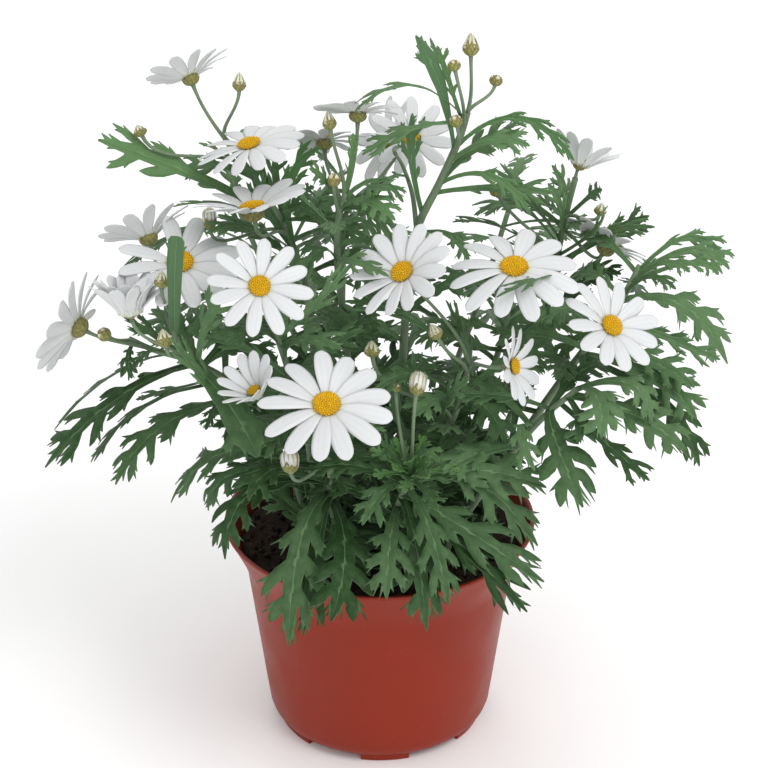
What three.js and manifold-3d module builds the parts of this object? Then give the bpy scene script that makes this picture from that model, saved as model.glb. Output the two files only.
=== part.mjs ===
// A potted marguerite daisy: one bushy plant with twenty open blooms in a nursery pot.
// Millimetres, +Z up. The origin is on the pot's axis, in the plane that its feet stand on.
import * as THREE from 'three';
import { mergeVertices } from 'three/addons/utils/BufferGeometryUtils.js';
import Module from 'manifold-3d';

const wasm = await Module();
wasm.setup();

// The pot: a thin-walled 14 cm nursery pot with a flared collar and six low feet
const POT = {
  rimRadius: 70, rimZ: 101, collarRadius: 60.5, collarZ: 81, heelRadius: 51, heelZ: 9,
  baseRadius: 47.5, baseZ: 3.4, wall: 1.6, floor: 2, sides: 30,
  feet: 6, footInner: 37, footOuter: 47, footHalfAngle: 13.5, firstFoot: -87,
  drains: 4, drainRadius: 4, drainRing: 26, drainSides: 6,
};
const SOIL = { topZ: 92, gap: 0.3, sides: 15, lump: 0.8, holeGap: 0.8, holeSides: 6, holeDepth: 13 };

// The plant
const GAP = 0.35;
const SMALLEST_EDGE = 0.02;
const STEM = { sides: 4, stepLength: 30 };
const PEDUNCLE = { radius: 1.2, sides: 3, steps: 4, lead: 0.35, sink: 1 };

// Leaves, in patterns by the pairs of lobes: each row is a share of the length and a half
// width as a share of the leaf's own, and each lobe the share where its point is and its reach
const LEAF = {
  thickness: 0.8, lobeDroop: 0.1, leastHalf: 1.1, shift: 0.03, stretch: 0.15, backFrom: 55,
};
const LEAF_PATTERNS = {
  1: {
    rows: [[0, 0.1], [0.5, 0.3], [0.8, 0.33]],
    lobes: [null, [0.9, 1]],
  },
  2: {
    rows: [[0, 0.1], [0.4, 0.15], [0.63, 0.19], [0.83, 0.15]],
    lobes: [null, [0.74, 0.8], [0.94, 1]],
  },
  3: {
    rows: [[0, 0.1], [0.3, 0.13], [0.5, 0.18], [0.68, 0.19], [0.85, 0.14]],
    lobes: [null, [0.59, 0.72], [0.79, 1], [0.94, 0.72]],
  },
};
const FACING_FRONT = new THREE.Vector3(0, -0.6, 0.8);
const FACING_BACK = new THREE.Vector3(0, 0.6, 0.8);

// Blooms. A petal row is a share of the petal's length, of its half width, and a lift
const PETAL = { thickness: 0.7, width: 0.155, twist: 12, shift: 0.08, nod: 3, stretch: 0.05 };
const PETAL_ROWS = [[0.62, 1, 0.04], [1, 0.45, -0.02]];
const DISC = { radius: 0.115, height: 0.46, segments: 8, relief: 0.07, inset: 1.2 };
const HUB = { height: 1.2, overhang: 0.4 };
const DISC_PROFILE = [[0, 0], [0.88, 0], [1, 0.4], [0.55, 0.82], [0, 1]];
const CUP = { radius: 0.98, height: 0.95, segments: 6, relief: 0.06 };
const CUP_PROFILE = [[0, 1], [0.55, 0.72], [1, 0.2], [0.9, 0], [0, 0]];
const WIDE_OPEN = 30;

// Buds: closed, pointed and opening
const BUD = { segments: 6, relief: 0.05 };
const BUD_PROFILES = [
  [[0, -0.5], [0.6, -0.4], [1, 0], [0.7, 0.38], [0, 0.5]],
  [[0, -0.5], [0.7, -0.36], [1, -0.1], [0.5, 0.28], [0, 0.5]],
  [[0, -0.5], [0.85, -0.3], [0.8, 0.1], [0.75, 0.4], [0, 0.5]],
];

// A piece that would cross another node is swung along this line of sight until it is clear
const SWING_LINE = new THREE.Vector3(0, 0.889, -0.457);
const SWINGS = [0, 5, -5, 10, -10, 15, -15, 20, -20];
const CUP_SWINGS = [0, 7, -7, 14, -14, 21];

const COLOUR = { pot: 0x96372a, soil: 0x241c18, green: 0x4c7a4a, petal: 0xf1f3f1, disc: 0xdfa620 };

// Each stem of a leafy shoot: the points that its centre line runs through, from the soil up
const STEMS = {
  a0: {
    shoot: 'a',
    radius: 2.3,
    path: [
      [8, 6, 84], [8, 6, 91], [8, 6, 98], [10, 6, 121], [10, 8, 166], [12, 8, 205], [16, 8, 238],
      [26, 8, 261], [34, 8, 281], [37, 8, 292],
    ],
  },
  a1: {
    shoot: 'a',
    radius: 1.5,
    path: [
      [16, 8, 239], [14, 14, 253], [10, 20, 263], [7, 26, 266],
    ],
  },
  b0: {
    shoot: 'b',
    radius: 2.1,
    path: [
      [-13, 4, 84], [-13, 4, 91], [-13, 4, 98], [-12, 2, 139], [-15, 0, 194], [-18, -4, 232],
      [-17, -2, 250], [-14, 0, 259],
    ],
  },
  b1: {
    shoot: 'b',
    radius: 1.7,
    path: [
      [-16, -1, 209], [-14, 12, 245], [0, 30, 253], [7, 44, 257],
    ],
  },
  c0: {
    shoot: 'c',
    radius: 2.1,
    path: [
      [-26, 16, 84], [-26, 16, 91], [-26, 16, 98], [-28, 16, 152], [-32, 18, 205],
      [-39, 20, 228], [-50, 24, 249], [-60, 30, 262], [-67, 36, 269],
    ],
  },
  d0: {
    shoot: 'd',
    radius: 2.1,
    path: [
      [-33, -6, 84], [-33, -6, 91], [-33, -6, 98], [-39, -14, 133], [-54, -26, 160],
      [-71, -34, 185], [-84, -34, 202], [-87, -34, 217],
    ],
  },
  e0: {
    shoot: 'e',
    radius: 1.9,
    path: [
      [-37, 14, 84], [-37, 14, 91], [-37, 14, 98], [-43, 10, 135], [-62, 2, 165], [-81, -6, 182],
      [-98, -12, 191], [-107, -16, 198],
    ],
  },
  f0: {
    shoot: 'f',
    radius: 2.0,
    path: [
      [-17, -24, 84], [-17, -24, 91], [-17, -24, 98], [-21, -38, 131], [-21, -52, 159],
      [-24, -62, 174],
    ],
  },
  g0: {
    shoot: 'g',
    radius: 2.0,
    path: [
      [8, -27, 84], [8, -27, 91], [8, -27, 98], [7, -46, 128], [11, -56, 147], [13, -60, 156],
    ],
  },
  h0: {
    shoot: 'h',
    radius: 2.0,
    path: [
      [26, -14, 84], [26, -14, 91], [26, -14, 98], [23, -20, 136], [33, -30, 171],
      [37, -36, 191],
    ],
  },
  i0: {
    shoot: 'i',
    radius: 1.9,
    path: [
      [30, 4, 84], [30, 4, 91], [30, 4, 98], [40, 4, 138], [52, -4, 187], [56, -16, 216],
    ],
  },
  j0: {
    shoot: 'j',
    radius: 2.1,
    path: [
      [36, 22, 84], [36, 22, 91], [36, 22, 98], [55, 30, 124], [71, 34, 173], [78, 32, 212],
      [82, 30, 238], [85, 28, 254],
    ],
  },
  k0: {
    shoot: 'k',
    radius: 2.1,
    path: [
      [40, -4, 84], [40, -4, 91], [40, -4, 98], [59, -8, 139], [81, -16, 182], [94, -16, 202],
      [106, -12, 220], [111, -8, 229],
    ],
  },
  l0: {
    shoot: 'l',
    radius: 1.9,
    path: [
      [30, -24, 84], [30, -24, 91], [30, -24, 98], [48, -40, 142], [68, -50, 177],
      [83, -54, 194],
    ],
  },
  m0: {
    shoot: 'm',
    radius: 1.9,
    path: [
      [-29, -16, 84], [-29, -16, 91], [-29, -16, 98], [-31, -24, 153], [-40, -30, 195],
      [-46, -34, 217],
    ],
  },
  n0: {
    shoot: 'n',
    radius: 1.9,
    path: [
      [-16, 32, 84], [-16, 32, 91], [-16, 32, 98], [-26, 46, 135], [-48, 68, 180],
      [-64, 82, 214],
    ],
  },
  o0: {
    shoot: 'o',
    radius: 1.9,
    path: [
      [20, 38, 84], [20, 38, 91], [20, 38, 98], [30, 52, 135], [48, 72, 180], [60, 86, 216],
    ],
  },
  p0: {
    shoot: 'p',
    radius: 1.9,
    path: [
      [-1, 48, 84], [-1, 48, 91], [-1, 48, 98], [-1, 60, 130], [-4, 82, 178], [-8, 94, 212],
    ],
  },
};

// Blooms: stem, place along it, centre x y z, direction x y z, diameter, petals, cup angle
const BLOOMS = [
  ['c0', 0.99, -82, 46, 294, -0.34, 0.55, 0.76, 40, 11, 18],
  ['c0', 0.75, -55, 14, 274, -0.21, -0.08, 0.97, 47, 13, -4],
  ['c0', 0.62, -53, -12, 256, -0.15, 0.17, 0.97, 50, 12, 18],
  ['m0', 0.99, -49, -52, 239, 0.15, -0.68, 0.72, 44, 12, 4],
  ['d0', 0.86, -99, 2, 238, -0.33, 0.56, 0.76, 43, 11, 24],
  ['d0', 0.99, -84, -16, 233, 0.06, -0.42, 0.9, 54, 12, 4],
  ['d0', 0.81, -104, -34, 220, -0.1, 0.16, 0.98, 44, 11, 52],
  ['e0', 0.85, -129, -18, 205, -0.87, 0.38, 0.31, 50, 12, 12],
  ['m0', 0.70, -51, -64, 197, -0.42, -0.34, 0.84, 36, 11, 50],
  ['f0', 0.99, -21, -88, 203, 0.0, -0.46, 0.89, 55, 13, 0],
  ['h0', 1.00, 10, -45, 242, -0.42, -0.47, 0.77, 46, 13, 12],
  ['i0', 1.00, 55, -50, 246, 0.0, -0.31, 0.95, 55, 12, -10],
  ['k0', 0.72, 95, -52, 221, 0.42, -0.52, 0.74, 45, 12, 8],
  ['h0', 1.00, 54, -66, 210, 0.87, -0.39, 0.31, 34, 11, 18],
  ['b0', 1.00, -9, 10, 291, 0.02, 0.5, 0.87, 40, 11, 6],
  ['b0', 0.85, -24, 38, 267, -0.05, 0.62, 0.77, 38, 10, -2],
  ['a1', 0.99, 14, 46, 265, 0.1, -0.7, 0.7, 39, 11, 8],
  ['b1', 1.00, 5, 74, 253, -0.72, 0.69, 0.11, 42, 10, 8],
  ['j0', 1.00, 87, 30, 260, 0.37, 0.38, 0.85, 40, 10, 44],
  ['j0', 0.79, 99, 18, 226, 0.5, 0.48, 0.72, 43, 11, 8],
].map(([stem, at, x, y, z, ax, ay, az, diameter, petals, cup]) => {
  const axis = new THREE.Vector3(ax, ay, az).normalize();
  return { stem, at, centre: new THREE.Vector3(x, y, z), axis, diameter, petals, cup };
});

// Buds: stem, place along it, centre x y z, direction x y z, width, height, and kind of profile
const BUDS = [
  ['a0', 1.00, 38, 8, 322, 0.0, 0.46, 0.89, 7.8, 10.4, 1],
  ['a0', 0.89, 31, 2, 315, -0.2, 0.45, 0.87, 6.1, 5.2, 0],
  ['a0', 0.99, 49, 14, 304, 0.2, 0.45, 0.87, 6.1, 5.2, 0],
  ['a0', 0.83, 32, -2, 292, -0.2, 0.45, 0.87, 5.7, 5.7, 0],
  ['c0', 0.98, -60, 34, 296, 0.0, 0.46, 0.89, 6.5, 8.7, 1],
  ['c0', 0.82, -102, 18, 280, -0.41, 0.42, 0.81, 6.5, 5.7, 1],
  ['b0', 0.91, -21, 4, 290, -0.15, 0.45, 0.88, 6.5, 8.7, 1],
  ['b0', 0.82, -19, -8, 268, 0.0, 0.46, 0.89, 6.1, 6.1, 0],
  ['c0', 0.63, -72, -2, 248, -0.05, 0.46, 0.89, 6.5, 9.6, 2],
  ['d0', 0.99, -90, -38, 236, 0.0, 0.46, 0.89, 7.0, 7.4, 1],
  ['e0', 0.96, -117, -22, 203, -0.87, 0.23, 0.44, 6.5, 6.5, 0],
  ['d0', 0.81, -89, -48, 214, -0.22, 0.45, 0.87, 7.8, 8.3, 1],
  ['h0', 0.74, -3, -46, 208, -0.05, 0.46, 0.89, 7.4, 7.4, 1],
  ['h0', 0.98, 23, -50, 218, -0.45, 0.41, 0.8, 6.5, 7.4, 1],
  ['g0', 0.89, 16, -56, 197, 0.15, 0.45, 0.88, 7.8, 10.4, 2],
  ['f0', 0.76, -37, -72, 169, -0.1, 0.45, 0.89, 8.3, 10.4, 2],
  ['j0', 0.83, 96, 22, 242, 0.22, 0.45, 0.87, 6.1, 6.1, 1],
  ['j0', 0.69, 50, 16, 253, -0.5, 0.4, 0.77, 5.7, 5.2, 0],
  ['g0', 0.77, 7, -52, 193, 0.0, 0.46, 0.89, 4.3, 4.3, 0],
].map(([stem, at, x, y, z, ax, ay, az, width, height, kind]) => {
  const axis = new THREE.Vector3(ax, ay, az).normalize();
  return { stem, at, centre: new THREE.Vector3(x, y, z), axis, width, height, kind };
});

// Leaves: stem, place along it, tip x y z, bend of the rib in x and z, width, roll, pairs of lobes
const LEAVES = [
  ['a0', 0.85, 15, 2, 328, 5, 4, 9, 5, 1],
  ['a0', 0.82, 63, -2, 281, 0, 13, 10, 20, 2],
  ['a0', 0.75, 75, 4, 257, -3, 5, 10, 25, 2],
  ['a0', 0.95, -7, -2, 277, 0, 9, 11, 20, 2],
  ['a0', 0.70, 14, 6, 293, -5, 3, 10, 10, 2],
  ['b0', 0.90, -29, -10, 274, 0, 5, 10, 20, 2],
  ['b0', 0.69, -35, -22, 228, 4, 22, 11, 10, 2],
  ['c0', 0.68, -119, 6, 281, -3, 7, 21, 10, 2],
  ['c0', 0.60, -54, 12, 271, -10, 3, 11, 10, 2],
  ['c0', 0.56, -45, 30, 265, -8, 13, 10, 15, 2],
  ['c0', 0.54, -25, 22, 271, -20, 19, 11, 20, 2],
  ['c0', 0.59, -73, -10, 244, -1, 15, 10, 15, 2],
  ['d0', 0.58, -86, -56, 218, 2, -6, 11, 5, 2],
  ['d0', 0.79, -108, -44, 223, 10, -6, 10, 20, 2],
  ['d0', 0.77, -63, -46, 235, -6, 1, 12, 10, 2],
  ['e0', 0.70, -147, -16, 135, -1, 18, 20, 15, 3],
  ['e0', 0.59, -128, -6, 132, -10, 19, 12, 40, 2],
  ['e0', 0.54, -115, -28, 133, -14, 17, 18, 15, 3],
  ['e0', 0.79, -145, 6, 142, -1, 15, 10, 50, 2],
  ['f0', 0.70, -90, -40, 131, -12, 39, 17, 20, 3],
  ['f0', 0.68, -73, -58, 137, -24, 24, 15, 10, 3],
  ['f0', 0.67, -65, -74, 123, -22, 28, 19, 10, 3],
  ['f0', 0.64, -38, -96, 94, -7, 27, 25, 0, 3],
  ['f0', 0.62, -32, -88, 94, 1, 20, 17, 15, 2],
  ['f0', 0.61, -20, -98, 108, 12, 8, 26, 0, 3],
  ['f0', 0.74, -54, -80, 155, -12, 16, 15, 0, 2],
  ['g0', 0.67, 3, -92, 115, -2, 11, 20, 0, 3],
  ['g0', 0.73, 20, -98, 102, 1, 19, 19, 0, 3],
  ['g0', 0.76, 69, -84, 118, -19, 17, 20, 5, 3],
  ['g0', 0.81, 67, -68, 126, 0, 35, 19, 10, 3],
  ['g0', 0.89, 70, -56, 148, -1, 14, 19, 15, 3],
  ['g0', 0.95, 65, -44, 156, -1, 16, 16, 20, 3],
  ['g0', 0.86, -7, -90, 149, 0, 14, 13, 0, 2],
  ['g0', 0.84, 29, -94, 113, 2, 14, 16, 0, 3],
  ['h0', 0.76, 55, -46, 161, -2, 31, 15, 0, 3],
  ['h0', 0.67, 37, -52, 197, -6, 9, 11, 0, 2],
  ['h0', 0.63, 6, -58, 203, -14, -3, 11, 0, 2],
  ['h0', 0.95, -15, -40, 227, 12, 18, 10, 18, 2],
  ['h0', 0.86, -3, -60, 193, -4, 23, 10, 0, 2],
  ['h0', 0.71, 14, -54, 211, -8, -5, 10, 5, 2],
  ['i0', 0.88, 40, -62, 235, -10, 26, 12, 10, 2],
  ['i0', 0.93, 47, -72, 246, 35, 26, 10, 20, 2],
  ['i0', 0.80, 28, -20, 218, -2, -13, 10, 10, 2],
  ['i0', 0.80, 72, -40, 228, 12, 6, 10, 0, 2],
  ['i0', 0.69, 35, -30, 214, -3, -2, 10, 10, 2],
  ['j0', 0.75, 41, 8, 246, 2, 23, 11, 25, 2],
  ['j0', 0.77, 49, 22, 261, 2, 4, 10, 20, 2],
  ['j0', 0.82, 74, 22, 262, 6, -2, 10, 10, 2],
  ['j0', 0.75, 72, 10, 259, 7, 2, 10, 0, 2],
  ['j0', 0.73, 95, 8, 244, 10, 2, 10, 10, 2],
  ['j0', 0.71, 117, 2, 249, 9, 7, 12, 20, 2],
  ['k0', 0.94, 148, 0, 229, 2, 26, 9, 45, 2],
  ['k0', 0.92, 149, -8, 227, 6, 22, 11, 30, 2],
  ['k0', 0.89, 143, -18, 229, 12, 15, 8, 40, 2],
  ['k0', 0.87, 130, -26, 234, 1, 15, 7, 30, 2],
  ['k0', 0.83, 124, -30, 228, -1, 15, 7, 45, 2],
  ['k0', 0.81, 149, -22, 189, 7, 25, 17, 10, 3],
  ['k0', 0.77, 144, -34, 197, 2, -1, 9, 50, 2],
  ['k0', 0.74, 133, -24, 198, 1, 4, 9, 40, 2],
  ['k0', 0.67, 133, -40, 187, 7, 4, 15, 15, 3],
  ['k0', 0.63, 134, -50, 177, 13, 9, 18, 10, 3],
  ['k0', 0.62, 137, -42, 150, 17, 11, 16, 15, 3],
  ['l0', 1.00, 91, -78, 183, 6, 12, 19, 0, 3],
  ['l0', 0.95, 128, -64, 170, 3, 8, 20, 5, 3],
  ['l0', 0.85, 84, -84, 154, -10, 18, 23, 0, 3],
  ['l0', 0.90, 114, -58, 152, -1, 1, 11, 30, 2],
  ['l0', 0.98, 113, -62, 181, 13, 22, 15, 0, 3],
  ['l0', 0.77, 64, -80, 169, -12, 17, 11, 0, 2],
  ['l0', 0.94, 81, -80, 182, 6, 0, 13, 0, 2],
  ['m0', 0.65, -62, -44, 196, -4, -4, 11, 10, 2],
  ['m0', 0.80, -15, -58, 214, -11, 13, 12, 10, 2],
  ['m0', 0.86, -63, -50, 212, 1, 14, 11, 10, 2],
  ['m0', 0.74, -6, -40, 214, -7, 5, 11, 10, 2],
  ['n0', 0.95, -118, 70, 190, -4, 18, 16, 0, 3],
  ['n0', 0.9, -100, 104, 192, 0, 16, 16, 0, 3],
  ['n0', 0.99, -74, 112, 226, 0, 12, 14, 0, 3],
  ['n0', 0.8, -108, 84, 150, 0, 20, 18, 0, 3],
  ['n0', 0.72, -60, 108, 138, 0, 20, 18, 0, 3],
  ['o0', 0.95, 116, 74, 194, 4, 18, 16, 0, 3],
  ['o0', 0.9, 94, 104, 190, 0, 16, 16, 0, 3],
  ['o0', 0.99, 68, 111, 230, 0, 12, 14, 0, 3],
  ['o0', 0.8, 104, 88, 150, 0, 20, 18, 0, 3],
  ['o0', 0.72, 58, 112, 140, 0, 20, 18, 0, 3],
  ['p0', 0.99, -34, 112, 236, -4, 10, 14, 0, 3],
  ['p0', 0.9, -38, 114, 178, 0, 18, 16, 0, 3],
  ['p0', 0.85, 24, 114, 172, 0, 18, 16, 0, 3],
  ['p0', 0.7, -28, 112, 132, 0, 22, 18, 0, 3],
  ['p0', 0.62, 24, 108, 120, 0, 22, 18, 0, 3],
  ['d0', 0.92, -82, -44, 258, -1, -3, 12, 0, 1],
  ['d0', 0.82, -50, -74, 172, 4, 6, 20, 0, 1],
  ['j0', 0.60, 77, -10, 231, 0, 8, 14, 0, 3],
  ['j0', 0.56, 98, 0, 224, 0, 10, 14, 0, 3],
  ['g0', 0.72, 62, -90, 107, -8, 16, 15, 5, 2],
].map(([stem, at, x, y, z, bendX, bendZ, width, roll, pairs]) => {
  const bend = new THREE.Vector3(bendX, 0, bendZ);
  return { stem, at, tip: new THREE.Vector3(x, y, z), bend, width, roll, pairs };
});

const radians = THREE.MathUtils.degToRad;
const UP = new THREE.Vector3(0, 0, 1);

// A repeatable number from -1 to 1 for piece a, detail b
function jitter(a, b) {
  let n = ((a * 7919) ^ (b * 104729)) >>> 0;
  n = (Math.imul(n, 1664525) + 1013904223) >>> 0;
  n = (Math.imul(n, 1664525) + 1013904223) >>> 0;
  return n / 2147483648 - 1;
}

// Solids and the pieces of each node

function solid(geometry) {
  const bare = new THREE.BufferGeometry();
  bare.setAttribute('position', geometry.getAttribute('position'));
  bare.setIndex(geometry.getIndex());
  const merged = mergeVertices(bare, 1e-4);
  const corners = merged.getIndex().array;
  const triVerts = [];
  for (let i = 0; i < corners.length; i += 3) {
    const [a, b, c] = [corners[i], corners[i + 1], corners[i + 2]];
    if (a !== b && b !== c && c !== a) triVerts.push(a, b, c);
  }
  const vertProperties = merged.getAttribute('position').array;
  const closed = (order) => {
    const mesh = { numProp: 3, vertProperties, triVerts: Uint32Array.from(order) };
    return new wasm.Manifold(new wasm.Mesh(mesh));
  };
  const made = closed(triVerts);
  return made.volume() > 0 ? made : closed(triVerts.reverse());
}

const placed = [];

function place(node, piece) {
  placed.push({ node, solid: piece, box: piece.boundingBox() });
}

function isClear(node, piece) {
  const box = piece.boundingBox();
  return placed.every((other) => {
    if (other.node === node) return true;
    for (let axis = 0; axis < 3; axis += 1) {
      if (other.box.min[axis] > box.max[axis] || other.box.max[axis] < box.min[axis]) return true;
    }
    return other.solid.intersect(piece).isEmpty();
  });
}

function nodeSolid(node) {
  const own = placed.filter((piece) => piece.node === node).map((piece) => piece.solid);
  return own.reduce((whole, piece) => whole.add(piece)).simplify(SMALLEST_EDGE);
}

// A lathe profile of [radius, z] pairs about +Z, with alternate sides in and out by the relief
function lathe(profile, segments, relief = 0) {
  const points = profile.map(([radius, z]) => new THREE.Vector2(radius, z));
  const geometry = new THREE.LatheGeometry(points, segments).rotateX(Math.PI / 2);
  const position = geometry.getAttribute('position');
  for (let i = 0; i < position.count; i += 1) {
    const side = Math.floor(i / profile.length);
    const ring = i % profile.length;
    const scale = 1 + relief * ((side + ring) % 2 === 0 ? 1 : -1);
    position.setXYZ(i, position.getX(i) * scale, position.getY(i) * scale, position.getZ(i));
  }
  return geometry;
}

function tube(curve, radius, sides, steps) {
  const ring = [];
  for (let i = 0; i < sides; i += 1) {
    const angle = (2 * Math.PI * i) / sides;
    ring.push(new THREE.Vector2(radius * Math.cos(angle), radius * Math.sin(angle)));
  }
  const options = { steps, extrudePath: curve, bevelEnabled: false };
  return new THREE.ExtrudeGeometry(new THREE.Shape(ring), options);
}

// A closed sheet of even thickness from its upper face: corners, each with the normal there,
// triangles, and the closed outline. Both faces are split into triangles alike.
function sheet(corners, faces, outline, thickness) {
  const count = corners.length;
  const position = new Float32Array(count * 6);
  corners.forEach(({ point, normal }, i) => {
    point.clone().addScaledVector(normal, thickness / 2).toArray(position, i * 3);
    point.clone().addScaledVector(normal, -thickness / 2).toArray(position, (i + count) * 3);
  });
  const index = [];
  faces.forEach(([a, b, c]) => index.push(a, b, c, c + count, b + count, a + count));
  outline.forEach((a, i) => {
    const b = outline[(i + 1) % outline.length];
    index.push(a + count, b + count, b, a + count, b, a);
  });
  const geometry = new THREE.BufferGeometry();
  geometry.setAttribute('position', new THREE.BufferAttribute(position, 3));
  geometry.setIndex(index);
  return geometry;
}

// A thin blade. Its rows run from base to end, each with a left and a right edge point, and
// lobes and the end stand out of its outline.
function blade(rows, lobes, end, thickness) {
  const corners = [];
  const add = (point, normal) => corners.push({ point, normal }) - 1;
  const faces = [];
  const right = rows.map((row) => add(row.right, row.normal));
  const left = rows.map((row) => add(row.left, row.normal));
  const last = rows.length - 1;
  const rightEdge = [];
  const leftEdge = [];
  for (let i = 0; i < last; i += 1) {
    faces.push([right[i], right[i + 1], left[i]], [right[i + 1], left[i + 1], left[i]]);
    rightEdge.push(right[i]);
    leftEdge.push(left[i]);
    const lobe = lobes[i];
    if (!lobe) continue;
    const rightTip = add(lobe.right, rows[i].normal);
    const leftTip = add(lobe.left, rows[i].normal);
    faces.push([right[i], rightTip, right[i + 1]], [left[i + 1], leftTip, left[i]]);
    rightEdge.push(rightTip);
    leftEdge.push(leftTip);
  }
  rightEdge.push(right[last]);
  leftEdge.push(left[last]);
  const outline = [...rightEdge];
  if (end) {
    const tip = add(end, rows[last].normal);
    faces.push([right[last], tip, left[last]]);
    outline.push(tip);
  }
  outline.push(...leftEdge.reverse());
  return sheet(corners, faces, outline, thickness);
}

// The pot and its soil

function pot() {
  const { rimRadius, rimZ, collarRadius, collarZ, heelRadius, heelZ, baseRadius, baseZ, wall, floor } = POT;
  const body = solid(lathe([
    [0, baseZ], [baseRadius, baseZ], [heelRadius, heelZ], [collarRadius, collarZ], [rimRadius, rimZ],
    [rimRadius - wall, rimZ], [collarRadius - wall, collarZ + wall / 4], [heelRadius - wall, heelZ],
    [baseRadius - wall, baseZ + floor], [0, baseZ + floor],
  ], POT.sides));
  let whole = body;
  for (let i = 0; i < POT.feet; i += 1) {
    whole = whole.add(solid(foot(POT.firstFoot + (i * 360) / POT.feet)));
  }
  for (let i = 0; i < POT.drains; i += 1) {
    const angle = radians((i * 360) / POT.drains);
    const { drainRadius, drainRing, drainSides } = POT;
    const drain = new THREE.CylinderGeometry(drainRadius, drainRadius, 4 * floor, drainSides);
    drain.rotateX(Math.PI / 2);
    drain.translate(drainRing * Math.cos(angle), drainRing * Math.sin(angle), baseZ + floor / 2);
    whole = whole.subtract(solid(drain));
  }
  return whole;
}

function foot(azimuth) {
  const from = radians(azimuth - POT.footHalfAngle);
  const to = radians(azimuth + POT.footHalfAngle);
  const sector = new THREE.Shape();
  sector.absarc(0, 0, POT.footOuter, from, to, false);
  sector.absarc(0, 0, POT.footInner, to, from, true);
  const height = POT.baseZ + POT.floor / 2;
  return new THREE.ExtrudeGeometry(sector, { depth: height, bevelEnabled: false, curveSegments: 3 });
}

// The soil fills the pot; each stem stands in a plain hole in it
function soil() {
  const wallAt = (z) => {
    const share = (z - POT.collarZ) / (POT.rimZ - POT.collarZ);
    return POT.collarRadius + share * (POT.rimRadius - POT.collarRadius) - POT.wall;
  };
  const { topZ, gap, lump } = SOIL;
  const floorZ = POT.baseZ + POT.floor;
  const profile = [
    [0, floorZ + gap], [POT.baseRadius - POT.wall - gap, floorZ + gap],
    [POT.heelRadius - POT.wall - gap, POT.heelZ + gap], [wallAt(POT.collarZ) - gap, POT.collarZ],
    [wallAt(topZ) - gap, topZ], [0.6 * wallAt(topZ), topZ], [0, topZ],
  ];
  const geometry = lathe(profile, SOIL.sides);
  const position = geometry.getAttribute('position');
  for (let i = 0; i < position.count; i += 1) {
    const onInnerRing = i % profile.length === profile.length - 2;
    const side = Math.floor(i / profile.length) % SOIL.sides;
    if (onInnerRing) position.setZ(i, topZ + lump * jitter(side, 1));
  }
  let whole = solid(geometry);
  Object.keys(STEMS).filter((name) => STEMS[name].path[0][2] < topZ).forEach((name) => {
    const [foot, next] = curves[name].getSpacedPoints(stemSteps(name));
    const along = next.clone().sub(foot).normalize();
    const bottom = foot.clone().addScaledVector(along, -SOIL.holeGap);
    const top = foot.clone().addScaledVector(along, SOIL.holeDepth);
    const radius = STEMS[name].radius + SOIL.holeGap;
    const hole = tube(new THREE.LineCurve3(bottom, top), radius, SOIL.holeSides, 1);
    whole = whole.subtract(solid(hole));
  });
  return whole;
}

// Stems and stalks

const curves = {};
Object.keys(STEMS).forEach((name) => {
  const points = STEMS[name].path.map((point) => new THREE.Vector3(...point));
  curves[name] = new THREE.CatmullRomCurve3(points, false, 'centripetal');
});

function stemSteps(name) {
  return Math.ceil(curves[name].getLength() / STEM.stepLength);
}

function stem(name) {
  return solid(tube(curves[name], STEMS[name].radius, STEM.sides, stemSteps(name)));
}

// A flower stalk leaves its stem along the stem and arrives along the bloom's axis
function stalk(stemName, at, end, axis, swing) {
  const curve = curves[stemName];
  const start = curve.getPoint(at);
  const reach = start.distanceTo(end) * PEDUNCLE.lead;
  const aside = SWING_LINE.clone().multiplyScalar(swing);
  const first = start.clone().addScaledVector(curve.getTangent(at), reach).add(aside);
  const second = end.clone().addScaledVector(axis, -reach).add(aside);
  const last = end.clone().addScaledVector(axis, PEDUNCLE.sink);
  return new THREE.CubicBezierCurve3(start, first, second, last);
}

function placeStalk(node, stemName, at, end, axis) {
  const make = (radius, swing) => {
    const path = stalk(stemName, at, end, axis, swing);
    return solid(tube(path, radius, PEDUNCLE.sides, PEDUNCLE.steps));
  };
  const swing = SWINGS.find((distance) => isClear(node, make(PEDUNCLE.radius + GAP, distance)));
  place(node, make(PEDUNCLE.radius, swing ?? 0));
}

// Blooms: a green cup, a white ring of petals and a yellow disc, each in its own node

function axisFrame(origin, axis) {
  const nearlyUpright = Math.abs(axis.z) > 0.9;
  const guide = nearlyUpright ? new THREE.Vector3(1, 0, 0) : UP;
  const side = new THREE.Vector3().crossVectors(guide, axis).normalize();
  const across = new THREE.Vector3().crossVectors(axis, side);
  return new THREE.Matrix4().makeBasis(side, across, axis).setPosition(origin);
}

function hubRadius(bloom) {
  return bloom.diameter * DISC.radius + HUB.overhang;
}

// In a half-open bloom the petals stand up round a smaller disc
function discRadius(bloom) {
  return bloom.diameter * DISC.radius - (bloom.cup > WIDE_OPEN ? DISC.inset : 0);
}

function cup(bloom) {
  const radius = discRadius(bloom) * CUP.radius;
  const height = radius * CUP.height;
  const profile = CUP_PROFILE.map(([across, down]) => [across * radius, -down * height - GAP]);
  return lathe(profile, CUP.segments, CUP.relief);
}

function disc(bloom) {
  const radius = discRadius(bloom);
  const base = HUB.height + GAP;
  const height = radius * DISC.height;
  const profile = DISC_PROFILE.map(([across, up]) => [across * radius, base + up * height]);
  return lathe(profile, DISC.segments, DISC.relief);
}

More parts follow.
